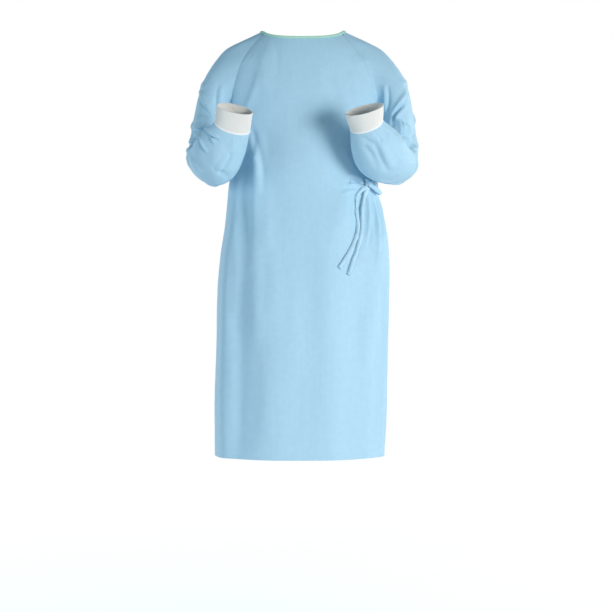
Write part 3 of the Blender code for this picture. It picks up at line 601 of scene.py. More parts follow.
# %% Creases of the sleeves
RIGHT_SLEEVE_CREASES = crease_table(
    front=(
        (-256, -264, -305, -261.2, 7.5, 8.5, "fold"),
        (-309, -352, -258, -270, 10, 11.5, "fold"), (-298, -274, -286, -280, 4, 4, "fold"),
        (-300, -244, -244, -250, 9, 5.6, "soft"), (-218, -316, -260, -276, 7.5, 7.5, "fold"),
        (-250, -350, -276, -300, 7, 6.2, "tuck"), (-264, -398, -298, -348, 8, 7.5, "fold"),
        (-230, -330, -244, -302, 5, 3.6, "tuck"), (-236, -394, -198, -408, 9, -5, "soft"),
        (-190, -350, -226, -404, 13, 5, "tuck"), (-176, -300, -186, -350, 9, 3.4, "soft"),
        (-232, -380, -210, -330, 16, 3.6, "soft"), (-218, -286, -200, -308, 4.5, 3, "tuck"),
        (-165, -290, -170, -328, 5, 2.8, "tuck"), (-242, -244, -286, -160, 11, 5.6, "tuck"),
        (-296, -130, -262, -160, 11, 3.6, "soft"), (-226, -242, -224, -150, 11, 5, "tuck"),
    ),
    right=(
        (30, -210, -50, -268, 9, 5.6, "tuck"), (-85, -300, -20, -262, 8.5, -7, "soft"),
        (-110, -320, -30, -298, 8.5, 6.2, "fold"), (-150, -330, -80, -380, 9, 4.8, "tuck"),
        (40, -320, -10, -370, 10, 5, "tuck"), (50, -250, 0, -300, 10, 3.8, "soft"),
        (60, -120, 20, -200, 13, 3.8, "soft"),
    ),
    back=(
        (-240, -280, -295, -320, 9, 5.2, "tuck"), (-235, -230, -285, -262, 9, 3.8, "soft"),
        (-160, -110, -200, -195, 13, 4, "tuck"),
    ),
    below=(
        (-270, -60, -230, -120, 9, 4.6, "tuck"), (-250, -140, -200, -170, 8, 4, "soft"),
    ),
)
LEFT_SLEEVE_CREASES = crease_table(
    front=(
        (194, -328, 144, -294, 15, 4.6, "tuck"), (230, -396, 192, -322, 17, 5.6, "tuck"),
        (156, -330, 196, -390, 10, -4.4, "soft"), (176, -296, 204, -326, 6, 3, "tuck"),
        (238, -256, 276, -204, 8.5, 6.6, "tuck"), (258, -214, 286, -170, 8.5, 4.2, "soft"),
        (260, -244, 264, -296, 6, 6.8, "fold"), (266, -250, 296, -290, 6, 6.6, "fold"),
        (264, -290, 308, -352, 10, 11.5, "fold"), (246, -238, 238, -264, 8, -6, "soft"),
        (282, -166, 236, -240, 9, 5.4, "tuck"), (244, -300, 264, -352, 14, 3.6, "soft"),
        (214, -290, 232, -320, 5.5, 3, "tuck"), (290, -370, 250, -406, 8, 4, "tuck"),
        (298, -120, 262, -150, 11, 3.6, "soft"), (224, -150, 222, -236, 11, 4.8, "tuck"),
    ),
    left=(
        (30, -200, -50, -262, 9, 5.6, "tuck"), (-85, -304, -20, -266, 8.5, -7, "soft"),
        (-30, -304, -110, -330, 8.5, 6.2, "fold"), (-150, -340, -80, -390, 9, 4.8, "tuck"),
        (45, -310, -5, -365, 10, 5, "tuck"), (50, -240, 0, -290, 10, 3.8, "soft"),
        (60, -110, 20, -190, 13, 3.8, "soft"),
    ),
    back=(
        (240, -275, 295, -315, 9, 5.2, "tuck"), (235, -225, 285, -258, 9, 3.8, "soft"),
        (160, -110, 200, -195, 13, 4, "tuck"),
    ),
    below=(
        (270, -60, 225, -120, 9, 4.6, "tuck"), (240, -140, 190, -175, 8, 4, "soft"),
    ),
)

# %% [markdown]
# ## Nonwoven cloth
#
# The gown is spunbond cloth: endless fibres laid at random, pressed together by a hot roller that leaves a
# grid of small bond points. Seen close there are fibres and dots, and from further off the fibres make
# soft clouds and faint streaks along the roll. The pattern follows the cloth, so it is drawn on a UV map
# in metres, round the piece and along it, and not in space.

# %% A UV map in metres
def map_cloth(thing, line):
    """UV map of a piece that runs round a line: across by arc length, up by distance along the line."""
    places = points_of(thing)
    centres, along, ways = beside(line, places)
    out = places - centres
    flat = square_to(ways, np.tile(np.array([0.0, 1.0, 0.0]), (len(places), 1)))
    third = np.cross(ways, flat)
    turn = np.arctan2((out * third).sum(axis=1), -(out * flat).sum(axis=1))
    radius = float(np.mean(np.linalg.norm(out, axis=1)))
    corner = corners_of(thing)
    u = turn[corner] * radius
    full = 2 * math.pi * radius
    starts = np.empty(len(thing.data.polygons), int)
    thing.data.polygons.foreach_get("loop_start", starts)
    first = np.repeat(u[starts], np.diff(np.append(starts, len(u))))
    u = u - full * np.round((u - first) / full)
    write_uv(thing, u, along[corner])


# %% Group: spunbond cloth
GOWN_LIGHT = (0.470, 0.705, 0.860, 1.0)
GOWN_DEEP = (0.440, 0.675, 0.835, 1.0)
BOND_PITCH = 0.0018
BOND_TINT = (0.90, 0.93, 0.95, 1.0)
CLOUD_SHARE, STREAK_SHARE = 0.65, 0.35


def build_spunbond():
    """Shader group for the cloth: its colour, its roughness, and the height of bonds, fibres and clouds."""
    group = bpy.data.node_groups.new("spunbond", "ShaderNodeTree")
    sockets = (
        ("Vector", "INPUT", "NodeSocketVector"), ("Light Colour", "INPUT", "NodeSocketColor"),
        ("Deep Colour", "INPUT", "NodeSocketColor"), ("Bond Pitch", "INPUT", "NodeSocketFloat"),
        ("Colour", "OUTPUT", "NodeSocketColor"), ("Roughness", "OUTPUT", "NodeSocketFloat"),
        ("Height", "OUTPUT", "NodeSocketFloat"),
    )
    for name, way, kind in sockets:
        group.interface.new_socket(name=name, in_out=way, socket_type=kind)
    come = node(group, "NodeGroupInput")
    here = (come, "Vector")

    def flat_noise(**inputs):
        return node(group, "ShaderNodeTexNoise", inputs, noise_dimensions="2D"), "Fac"

    clouds = flat_noise(Vector=here, Scale=60, Detail=5, Roughness=0.62)
    stretched = node(group, "ShaderNodeMapping", {"Vector": here, "Scale": (1.0, 0.045, 1.0)})
    streaks = flat_noise(Vector=(stretched, "Vector"), Scale=150, Detail=3)
    fibres = flat_noise(Vector=here, Scale=900, Detail=2, Distortion=1.6)

    # Bond points: a diagonal grid of dots, which are the high places of two crossed waves.
    split = node(group, "ShaderNodeSeparateXYZ", {"Vector": here})
    waves = []
    for operation in ("ADD", "SUBTRACT"):
        across = maths(group, operation, (split, "X"), (split, "Y"))
        pitch = maths(group, "DIVIDE", across, (come, "Bond Pitch"))
        waves.append(maths(group, "COSINE", maths(group, "MULTIPLY", pitch, 2 * math.pi)))
    crossed = {"Value": maths(group, "ADD", *waves), "From Min": 0.9, "From Max": 1.7}
    dots = node(group, "ShaderNodeMapRange", crossed, interpolation_type="SMOOTHSTEP"), "Result"

    tone = maths(group, "MULTIPLY_ADD", clouds, CLOUD_SHARE, maths(group, "MULTIPLY", streaks, STREAK_SHARE))
    spread = node(group, "ShaderNodeMapRange", {"Value": tone, "From Min": 0.36, "From Max": 0.64})
    ends = {"Factor": (spread, "Result"), "A": (come, "Deep Colour"), "B": (come, "Light Colour")}
    colour = node(group, "ShaderNodeMix", ends, data_type="RGBA")
    tinting = {"Factor": dots, "A": (colour, "Result"), "B": BOND_TINT}
    dotted = node(group, "ShaderNodeMix", tinting, data_type="RGBA", blend_type="MULTIPLY")

    rough = node(group, "ShaderNodeMapRange", {"Value": fibres, "To Min": 0.62, "To Max": 0.80})
    weave = maths(group, "MULTIPLY_ADD", dots, -0.9, fibres)
    node(group, "NodeGroupOutput", {
        "Colour": (dotted, "Result"),
        "Roughness": maths(group, "MULTIPLY_ADD", dots, -0.14, (rough, "Result")),
        "Height": maths(group, "MULTIPLY_ADD", clouds, 1.6, weave),
    })
    return group


SPUNBOND = build_spunbond()


def cloth_material(name, light, deep, pitch=BOND_PITCH, bump=0.00016):
    material, tree, shader = new_material(name)
    place = node(tree, "ShaderNodeUVMap", uv_map="cloth")
    inputs = {"Vector": (place, "UV"), "Light Colour": light, "Deep Colour": deep, "Bond Pitch": pitch}
    fabric = node(tree, "ShaderNodeGroup", inputs, node_tree=SPUNBOND)
    raised = node(tree, "ShaderNodeBump", {"Height": (fabric, "Height"), "Strength": 0.55, "Distance": bump})
    plug(tree, shader, {
        "Base Color": (fabric, "Colour"), "Roughness": (fabric, "Roughness"), "Normal": (raised, "Normal"),
        "Metallic": 0.0, "IOR": 1.45, "Specular IOR Level": 0.32,
        "Sheen Weight": 0.12, "Sheen Roughness": 0.5,
    })
    return material


gown_cloth = cloth_material("gown_cloth", GOWN_LIGHT, GOWN_DEEP)

# %% [markdown]
# ## The panels and sleeves
#
# Front, two backs and two sleeves are made the same way: cut the skin free, smooth it, crease it, let it
# be a little uneven, pinch its seams and give it a thin wall. Hem, neck and the free edges of the backs
# are not sewn to a neighbour, so they are left out of the pinching.

# %% Smooth the five big pieces
Piece = namedtuple("Piece", "node line levels relax creases")
BIG_PIECES = (
    Piece("front_panel", BODY_AXIS, 3, 0, FRONT_CREASES),
    Piece("back_panel_left", BODY_AXIS, 2, 0, BACK_CREASES),
    Piece("back_panel_right", BODY_AXIS, 2, 0, BACK_CREASES),
    Piece("sleeve_left", LEFT_ARM, 3, 2, LEFT_SLEEVE_CREASES),
    Piece("sleeve_right", RIGHT_ARM, 3, 2, RIGHT_SLEEVE_CREASES),
)
SHOULDER_LOW, SHOULDER_HIGH = -0.27, -0.05
SHOULDER_ROUNDS = 9


def relax(mesh, rounds, low=-math.inf, high=math.inf):
    """Rounds off a cage between two heights, all but its rim."""
    free = [vert for vert in mesh.verts if not vert.is_boundary and low < vert.co.z < high]
    axes = {"use_axis_x": True, "use_axis_y": True, "use_axis_z": True}
    for _ in range(rounds):
        bmesh.ops.smooth_vert(mesh, verts=free, factor=0.5, **axes)


cloth = {}
for piece in BIG_PIECES:
    cage = outer_skin(piece.node, piece.line)
    relax(cage, piece.relax)
    if piece.relax:
        relax(cage, SHOULDER_ROUNDS, SHOULDER_LOW, SHOULDER_HIGH)
    cloth[piece.node] = finish_mesh(cage, piece.node + "_cloth", piece.levels)
    print(piece.node, "has", len(cloth[piece.node].data.vertices), "points")

# %% Where two pieces are sewn together
SEWN_WITHIN = 0.008

rims = {name: rim_points(thing) for name, thing in cloth.items()}
for side in ("left", "right"):
    cage = outer_skin("cuff_" + side, LEFT_ARM if side == "left" else RIGHT_ARM)
    rims["cuff_" + side] = np.array([vert.co[:] for vert in cage.verts if vert.is_boundary])
    cage.free()


def other_rims(name):
    return tree_of(np.concatenate([rim for other, rim in rims.items() if other != name]))


sewn, lifts = {}, {}
for name in cloth:
    sewn[name] = rims[name][nearest(other_rims(name), rims[name]) < SEWN_WITHIN]
    print(name, "is sewn along", len(sewn[name]), "points of its rim")

# %% [markdown]
# Where a raglan seam runs over the chest, cloth bridges from the body to the sleeve, so the valley that
# two separate cages leave there is filled: both pieces rise along the way halfway between their normals.

# %% Fill the valley along the raglan seams
FILL_HEIGHT = 0.0062
FILL_REACH = 0.034
FILL_BELOW, FILL_ABOVE = -0.235, -0.060
FADE_BELOW, FADE_ABOVE = 0.05, 0.03


def skin_normals(thing, points):
    tree = surface_of(thing)
    return np.array([tree.find_nearest(Vector(place))[1][:] for place in points])


for name, thing in cloth.items():
    rim = sewn[name]
    ways = skin_normals(thing, rim)
    best = np.full(len(rim), SEWN_WITHIN)
    other_ways = ways.copy()
    for other, neighbour in cloth.items():
        if other != name and len(sewn[other]):
            far = nearest(tree_of(sewn[other]), rim)
            closer = far < best
            if closer.any():
                other_ways[closer] = skin_normals(neighbour, rim[closer])
                best[closer] = far[closer]
    middle = unit(ways + other_ways)
    ease = np.clip((rim[:, 2] - FILL_BELOW) / FADE_BELOW, 0, 1)
    ease *= np.clip((FILL_ABOVE - rim[:, 2]) / FADE_ABOVE, 0, 1)
    places = points_of(thing)
    tree = tree_of(rim)
    found = [tree.find(place)[1:] for place in places]
    at = np.array([item[0] for item in found])
    far = np.array([item[1] for item in found])
    share = ease[at] * np.exp(-((far / FILL_REACH) ** 2))
    lifts[name] = middle[at] * (share * FILL_HEIGHT)[:, None]
for name, thing in cloth.items():
    set_points(thing, points_of(thing) + lifts[name])

# %% Crease, hold, pinch and thicken them
for piece in BIG_PIECES:
    thing = cloth[piece.node]
    places, normals = points_of(thing), normals_of(thing)
    from_seam = nearest(tree_of(sewn[piece.node]), places)
    held = np.clip(from_seam / HELD_REACH, 0, 1)
    pinch = SEAM_PINCH * np.exp(-((from_seam / SEAM_REACH) ** 2))
    rise = unevenness(places) * (SEAM_SHARE + (1 - SEAM_SHARE) * held) - pinch
    set_points(thing, places + creased(thing, piece.creases) * held[:, None] + normals * rise[:, None])
# The open sheets are kept as trees, because stitches and ties are laid on them later.
skins = {name: surface_of(thing) for name, thing in cloth.items()}
edges = {name: rim_loops(thing) for name, thing in cloth.items()}
for piece in BIG_PIECES:
    thing = cloth[piece.node]
    thicken(thing)
    map_cloth(thing, piece.line)
    dress(thing, gown_cloth, "gown_cloth", piece.node)

# %% [markdown]
# ## Knit cuffs
#
# A cuff is a short tube of rib knit, in columns of raised and sunken stitches. The columns are real shape
# here: the cage of the cuff is subdivided until each column has a few points across, and these rise and
# fall round the tube. The stitches along each column are too fine for that and are bump.

# %% Ribs on the cuffs
RIB_COUNT = 84
RIB_DEPTH = 0.00042
CUFF_LEVELS = 4
CUFF_THICK = 0.0013
EDGE_BULGE = 0.0012
EDGE_FROM_BASE = 0.0022
EDGE_REACH = 0.0017
RIBS_FULL = 0.006
ARC_STEPS = 181
# How many points of a sleeve's rim are taken as its seam with the cuff.
CUFF_RIM = 200
ROUND_TURN = np.linspace(-math.pi, math.pi, ARC_STEPS)


def rib_cuff(side, line):
    name = "cuff_" + side
    thing = finish_mesh(outer_skin(name, line), name + "_knit", CUFF_LEVELS)
    places, normals = points_of(thing), normals_of(thing)
    centre = places.mean(axis=0)
    way = unit(np.array(line[-1]) - np.array(line[-2]))
    across = unit(np.cross(way, (0.0, 1.0, 0.0)))
    third = np.cross(way, across)
    out = places - centre
    turn = np.arctan2(out @ third, out @ across)
    # Arc length, and not the angle, spaces the columns evenly round a flattened tube.
    ring = out - np.outer(out @ way, way)
    parts = zip(ROUND_TURN, ROUND_TURN[1:])
    mean = np.array([ring[(turn >= a) & (turn < b)].mean(axis=0) for a, b in parts])
    far = run_along(np.concatenate([mean, mean[:1]]))
    share = np.interp(turn, ROUND_TURN, far / far[-1])
    # The base slants, so height above it is measured to the nearest point of the seam with the sleeve.
    rim = sewn["sleeve_" + side]
    sleeve_rim = tree_of(rim[np.argsort(np.linalg.norm(rim - centre, axis=1))[:CUFF_RIM]])
    above = nearest(sleeve_rim, places)
    ribs = np.clip(above / RIBS_FULL, 0, 1)
    rise = RIB_DEPTH * (np.cos(2 * math.pi * RIB_COUNT * share) - 1.0) * ribs
    rise += EDGE_BULGE * np.exp(-(((above - EDGE_FROM_BASE) / EDGE_REACH) ** 2))
    set_points(thing, places + normals * rise[:, None])
    thicken(thing, CUFF_THICK)
    places = points_of(thing)
    out = places - centre
    u = np.interp(np.arctan2(out @ third, out @ across), ROUND_TURN, far)
    corner = corners_of(thing)
    write_uv(thing, u[corner], nearest(sleeve_rim, places)[corner])
    return thing


KNIT_DEEP = (0.83, 0.80, 0.765, 1.0)
KNIT_LIGHT = (0.92, 0.89, 0.855, 1.0)
KNIT_EDGE = (0.97, 0.96, 0.97, 1.0)


def knit_material():
    material, tree, shader = new_material("cuff_knit")
    place = (node(tree, "ShaderNodeUVMap", uv_map="cloth"), "UV")
    stitch = node(
        tree, "ShaderNodeTexWave", {"Vector": place, "Scale": 330, "Distortion": 0.8, "Detail": 1},
        wave_type="BANDS", bands_direction="Y", wave_profile="SIN",
    )
    fuzzy = {"Vector": place, "Scale": 420, "Detail": 3}
    fuzz = node(tree, "ShaderNodeTexNoise", fuzzy, noise_dimensions="2D"), "Fac"
    yarn = {"Factor": fuzz, "A": KNIT_DEEP, "B": KNIT_LIGHT}
    tone = node(tree, "ShaderNodeMix", yarn, data_type="RGBA")
    # The base edge is brighter: V is the height above the seam.
    split = node(tree, "ShaderNodeSeparateXYZ", {"Vector": place})
    height = {"Value": (split, "Y"), "From Min": 0.0035, "From Max": 0.0060}
    edge = node(tree, "ShaderNodeMapRange", height, interpolation_type="SMOOTHSTEP")
    edging = {"Factor": (edge, "Result"), "A": KNIT_EDGE, "B": (tone, "Result")}
    edged = node(tree, "ShaderNodeMix", edging, data_type="RGBA")
    relief = maths(tree, "MULTIPLY_ADD", fuzz, 0.6, (stitch, "Fac"))
    raised = node(tree, "ShaderNodeBump", {"Height": relief, "Strength": 0.5, "Distance": 0.0002})
    plug(tree, shader, {
        "Base Color": (edged, "Result"), "Normal": (raised, "Normal"), "Metallic": 0.0, "Roughness": 0.88,
        "Specular IOR Level": 0.25, "Sheen Weight": 0.25, "Sheen Roughness": 0.4,
    })
    return material


cuff_knit = knit_material()
for side, line in (("left", LEFT_ARM), ("right", RIGHT_ARM)):
    cloth["cuff_" + side] = dress(rib_cuff(side, line), cuff_knit, "cuff_knit", "cuff_" + side)

# %% [markdown]
# ## Tapes
#
# Binding, ties and touch tape are strips. Their solids have the right size and place, so the strips keep
# them: the copy gets rounded edges from a bevel and a subdivision, and a UV map along the strip.

# %% Round a strip's edges
def box_map(thing):
    """UV map for a small piece: the two longest ways of its own box."""
    places = points_of(thing)
    middle = places.mean(axis=0)
    _, _, ways = np.linalg.svd(places - middle, full_matrices=False)
    flat = (places - middle) @ ways[:2].T
    write_uv(thing, *flat[corners_of(thing)].T)


STRIP_EDGE = 0.0004
STRIP_SHARP = math.radians(40)


def soft_strip(name, suffix, material, slot):
    mesh = merged_copy(name)
    bmesh.ops.bevel(
        mesh,
        geom=[e for e in mesh.edges if len(e.link_faces) == 2 and e.calc_face_angle() > STRIP_SHARP],
        offset=STRIP_EDGE, segments=1, profile=0.5, affect="EDGES", material=-1, clamp_overlap=True,
    )
    thing = finish_mesh(mesh, name + suffix, 1)
    box_map(thing)
    return dress(thing, material, slot, name)


Tape = namedtuple("Tape", "name light deep pitch bump")
TAPES = (
    # The tie tape is lighter than the gown's cloth: partly because the tape is doubled, and partly as a
    # painted highlight so that the raised tails, loops and knot look lit.
    Tape("tie_cloth", (0.56, 0.78, 0.91, 1.0), (0.47, 0.70, 0.85, 1.0), BOND_PITCH, 0.0002),
    Tape("binding_tape", (0.56, 0.87, 0.71, 1.0), (0.48, 0.80, 0.63, 1.0), 0.0014, 0.00012),
    Tape("touch_tape", (0.84, 0.85, 0.86, 1.0), (0.70, 0.72, 0.74, 1.0), 0.0012, 0.0004),
)
tie_cloth, binding_tape, touch_tape = [cloth_material(*tape) for tape in TAPES]
STRIPS = (
    ("neck_binding", "_tape", binding_tape, "binding"),
    ("tie_wrap", "_tape", tie_cloth, "gown_cloth"),
    ("touch_tape_loop", "_pad", touch_tape, "touch_tape"),
    ("touch_tape_hook", "_pad", touch_tape, "touch_tape"),
)
BINDING_PUFF = 0.0007
for name, suffix, material, slot in STRIPS:
    cloth[name] = soft_strip(name, suffix, material, slot)
    if name == "neck_binding":
        set_points(cloth[name], points_of(cloth[name]) + normals_of(cloth[name]) * BINDING_PUFF)

# %% [markdown]
# ## The bow
#
# The waist ties are narrow tapes of the gown's own cloth. Tied and tied again, such a tape is never flat:
# it cups along its length, crumples every few centimetres and twists a little. A ribbon here starts as a
# plain grid. Each row of the grid is laid across the route, and the rows get a cupped section, a shallow
# stitch line along the middle and their own crumples. The tails lie on the finished cloth, so that they
# follow its creases.

# %% A ribbon from a grid
ACROSS = 8
RIBBON_THICK = 0.0006
STITCH_SINK = 0.0003
STITCH_REACH = 0.18
# Crumples and leans along a tape, in turns of noise for each metre.
CRUMPLES, LEANS = 96, 34
CRUMPLE_BASE, LEAN_BASE, LEAN_TILT = 0.6, 0.35, 0.7
# Far apart places in the noise for each seed, and how fast it changes across a tape.
ROUGH_SEED, LEAN_SEED, WAVE_SEED = 5.3, 9.1, 7.7
ROUGH_ACROSS, LEAN_PLANE = 1.1, 2.0
ROUTE_ROUNDS = 4


def smooth_route(points, count):
    """Evenly spaced places on a smooth line through a few."""
    points = np.array(points, float)
    for _ in range(ROUTE_ROUNDS):
        middles = (points[1:] + points[:-1]) / 2
        ends = points[:1], points[-1:]
        soft = points.copy()
        soft[1:-1] = (middles[1:] + middles[:-1]) / 2
        between = np.empty((2 * len(points) - 1, points.shape[1]))
        between[0::2], between[1::2] = soft, (soft[1:] + soft[:-1]) / 2
        points = between
        points[0], points[-1] = ends[0][0], ends[1][0]
    far = run_along(points)
    places = np.linspace(0, far[-1], count)
    return np.stack([np.interp(places, far, points[:, k]) for k in range(points.shape[1])], axis=1)


def ribbon(name, centres, outs, widths, cup, crumple, seed):
    """Tape along `centres`, facing `outs`. `cup` is how far its middle stands above its edges."""
    count = len(centres)
    ways = unit(np.gradient(centres, axis=0))
    outs = square_to(ways, outs)
    across = np.cross(ways, outs)
    run = run_along(centres)
    mesh = bmesh.new()
    bmesh.ops.create_grid(mesh, x_segments=ACROSS, y_segments=count - 1, size=1)
    layer = mesh.loops.layers.uv.new("cloth")
    spots = {}
    for vert in mesh.verts:
        share, row = vert.co.x, int(round((vert.co.y + 1) / 2 * (count - 1)))
        rough = noise.noise(Vector((run[row] * CRUMPLES, share * ROUGH_ACROSS, seed * ROUGH_SEED)))
        lean = noise.noise(Vector((run[row] * LEANS, seed * LEAN_SEED, LEAN_PLANE)))
        rise = cup * (1 - share * share) - STITCH_SINK * math.exp(-((share / STITCH_REACH) ** 2))
        rise += crumple * (CRUMPLE_BASE + rough) * (LEAN_BASE + (1 - LEAN_BASE) * abs(lean))
        rise += crumple * LEAN_TILT * lean * share
        spots[vert] = (share * widths[row] / 2, run[row])
        vert.co = Vector(centres[row] + across[row] * share * widths[row] / 2 + outs[row] * rise)
    for face in mesh.faces:
        for loop in face.loops:
            loop[layer].uv = spots[loop.vert]
    bmesh.ops.recalc_face_normals(mesh, faces=mesh.faces)
    middle = mesh.faces[:][len(mesh.faces) // 2]
    row = int(round((count - 1) / 2))
    if middle.normal.dot(Vector(outs[row])) < 0:
        bmesh.ops.reverse_faces(mesh, faces=mesh.faces)
    thing = finish_mesh(mesh, name)
    wall = thing.modifiers.new("wall", "SOLIDIFY")
    wall.thickness = RIBBON_THICK
    wall.offset = 1
    smooth = thing.modifiers.new("smooth", "SUBSURF")
    smooth.levels = smooth.render_levels = 1
    apply_modifiers(thing)
    thing.data.shade_smooth()
    return thing


BEFORE_CLOTH = -0.6


def lay_on_front(points, count, lift):
    """Places and facings of a route, given by X and height, on whatever cloth lies in front."""
    centres, outs = [], []
    for x, height in smooth_route(points, count):
        hit = skins["front_panel"].ray_cast(Vector((x, BEFORE_CLOTH, height)), Vector((0, 1, 0)))
        centres.append(np.array(hit[0]))
        outs.append(np.array(hit[1]) if hit[1].y < 0 else -np.array(hit[1]))
    outs = np.array(outs)
    outs = unit(sum(np.roll(outs, shift, axis=0) for shift in (-1, 0, 1)))
    outs[0], outs[-1] = outs[1], outs[-2]
    return np.array(centres) + outs * lift, outs


# %% Tails and the front tie
FRONT_TIE = ((0.1270, -0.4140), (0.1400, -0.4160), (0.1600, -0.4180), (0.1700, -0.4200))
TAIL_FRONT = (
    (0.1700, -0.4270), (0.1600, -0.4340), (0.1500, -0.4400), (0.1410, -0.4520), (0.1395, -0.4730),
    (0.1430, -0.5000), (0.1480, -0.5250), (0.1490, -0.5480), (0.1400, -0.5750), (0.1240, -0.6060),
    (0.1080, -0.6300), (0.0950, -0.6480),
)
TAIL_WRAP = (
    (0.1740, -0.4300), (0.1690, -0.4410), (0.1600, -0.4580), (0.1583, -0.4950), (0.1575, -0.5350),
    (0.1595, -0.5570), (0.1500, -0.5780), (0.1400, -0.6060), (0.1320, -0.6350), (0.1190, -0.6660),
)
Lying = namedtuple("Lying", "node route rows width cup crumple lift seed")
LYING = (
    Lying("tie_front", FRONT_TIE, 24, 0.0095, 0.0009, 0.0012, 0.0002, 3),
    Lying("tie_tail_front", TAIL_FRONT, 110, 0.0112, 0.0042, 0.0034, 0.0014, 1),
    Lying("tie_tail_wrap", TAIL_WRAP, 110, 0.0112, 0.0042, 0.0034, 0.0020, 2),
)
WAVE_STEP, WAVE_SHARE = 0.23, 0.22
for tie in LYING:
    centres, outs = lay_on_front(tie.route, tie.rows, tie.lift)
    spots = [Vector((k * WAVE_STEP, tie.seed * WAVE_SEED, 0.0)) for k in range(tie.rows)]
    widths = tie.width * (1.0 + WAVE_SHARE * np.array([noise.noise(spot) for spot in spots]))
    thing = ribbon(tie.node + "_tape", centres, outs, widths, tie.cup, tie.crumple, tie.seed)
    cloth[tie.node] = dress(thing, tie_cloth, "gown_cloth", tie.node)

# %% Loops
KNOT_LOW, KNOT_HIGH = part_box("tie_knot")
KNOT = np.array((KNOT_LOW + KNOT_HIGH) / 2)
KNOT_HALF = np.array((KNOT_HIGH - KNOT_LOW) / 2)
FACING = unit(np.array([0.35, -0.94, 0.0]))
Loop = namedtuple("Loop", "node length height width way rows seed")
LOOPS = (
    Loop("tie_loop_long", 0.041, 0.0056, 0.0130, (0.78, 0.18, -0.60), 46, 5),
    Loop("tie_loop_short", 0.0095, 0.0040, 0.0090, (-0.45, -0.45, 0.78), 26, 6),
)
LOOP_ENDS, LOOP_ROUND = 0.58, 0.7
LOOP_GAP = math.radians(35)
LOOP_ROOT = 0.8
LOOP_CUP, LOOP_CRUMPLE = 0.0010, 0.0009
for loop in LOOPS:
    way = unit(np.array(loop.way))
    out = square_to(way, FACING)
    root = KNOT + way * KNOT_HALF.min() * LOOP_ROOT
    turns = np.linspace(LOOP_GAP, 2 * math.pi - LOOP_GAP, loop.rows)
    along = loop.length * (math.cos(LOOP_GAP) - np.cos(turns)) / 2
    swell = loop.height * np.sin(turns) * np.sin(turns / 2)
    centres = root + np.outer(along, way) + np.outer(swell, out)
    slopes = unit(np.gradient(centres, axis=0))
    outs = np.cross(np.tile(np.cross(way, out), (loop.rows, 1)), slopes)
    if outs[loop.rows // 2] @ way < 0:
        outs = -outs
    swelling = np.sin(np.pi * np.clip(along / loop.length, 0, 1)) ** LOOP_ROUND
    widths = loop.width * (LOOP_ENDS + (1 - LOOP_ENDS) * swelling)
    thing = ribbon(loop.node + "_tape", centres, outs, widths, LOOP_CUP, LOOP_CRUMPLE, loop.seed)
    cloth[loop.node] = dress(thing, tie_cloth, "gown_cloth", loop.node)

# %% The knot: bands pulled tight round each other
Band = namedtuple("Band", "axis size start end width cup seed")
BANDS = (
    Band((0.62, 0.00, -0.78), 0.62, -200, 130, 0.0100, 0.0020, 7),
    Band((0.20, -0.20, 1.00), 0.82, -150, 150, 0.0085, 0.0020, 8),
    Band((0.85, 0.10, 0.50), 1.00, -130, 120, 0.0075, 0.0016, 9),
)
BAND_ROWS = 40
BAND_CRUMPLE = 0.0007
bands = []
for k, band in enumerate(BANDS):
    axis = unit(np.array(band.axis))
    face = square_to(axis, FACING)
    side = np.cross(axis, face)
    turns = np.radians(np.linspace(band.start, band.end, BAND_ROWS))
    rays = np.outer(np.cos(turns), face) + np.outer(np.sin(turns), side)
    centres = KNOT + rays * KNOT_HALF * band.size
    widths = np.full(BAND_ROWS, band.width)
    bands.append(ribbon(f"band_{k}", centres, rays, widths, band.cup, BAND_CRUMPLE, band.seed))
knot_mesh = bmesh.new()
for thing in bands:
    knot_mesh.from_mesh(thing.data)
    bpy.data.objects.remove(thing, do_unlink=True)
knot = finish_mesh(knot_mesh, "tie_knot_bands")
cloth["tie_knot"] = dress(knot, tie_cloth, "gown_cloth", "tie_knot")

# %% [markdown]
# ## Stitches
#
# Every seam shows a row of short stitches, 3 mm apart, beside it. Rows are found from the open edges of
# the sheets: the raglan seams and cuff seams from the sleeves, the side seams, hems and back edges from
# the panels. Each row is moved in from its edge, put back on the cloth, and cut into stitches that lie
# half sunk in it. The row on the binding holds it to the neck edge.

# %% Rows of stitches
STITCH_PITCH = 0.0032
STITCH_HALF = np.array([0.00115, 0.00030, 0.00022])
NEAR_SEAM = 0.008
NEAR_NECK = 0.010
HEM_HEIGHT = -1.10
SIDE_TOP = -0.26
# How far each row is moved in from its edge.
CUFF_INSET, SEAM_INSET, HEM_INSET, LAP_INSET = 0.0040, 0.0045, 0.0120, 0.0100
NECK_OUTSET, NECK_RISE = 0.0012, (0, 0, 0.0005)
binding_tree = surface_of(cloth["neck_binding"])


def row_marks(places, wanted, lay):
    """Middle, way and facing of every stitch on one row. `lay` puts a place on the cloth."""
    laid = [lay(Vector(place)) for place in places]
    spots = np.array([spot[:] for spot, facing in laid])
    faces = np.array([facing[:] for spot, facing in laid])
    far = run_along(spots)
    marks = []
    for start in np.arange(STITCH_PITCH, far[-1] - STITCH_PITCH, STITCH_PITCH):
        at = int(np.clip(np.searchsorted(far, start), 1, len(far) - 1))
        if wanted[at] and wanted[at - 1]:
            stops = start - STITCH_HALF[0], start + STITCH_HALF[0]
            back, front = np.stack([np.interp(stops, far, spots[:, k]) for k in range(3)], axis=1)
            marks.append(((back + front) / 2, front - back, faces[at]))
    return marks


def lay_on(tree):
    def lay(place):
        spot, facing, _, _ = tree.find_nearest(place)
        return spot, facing
    return lay


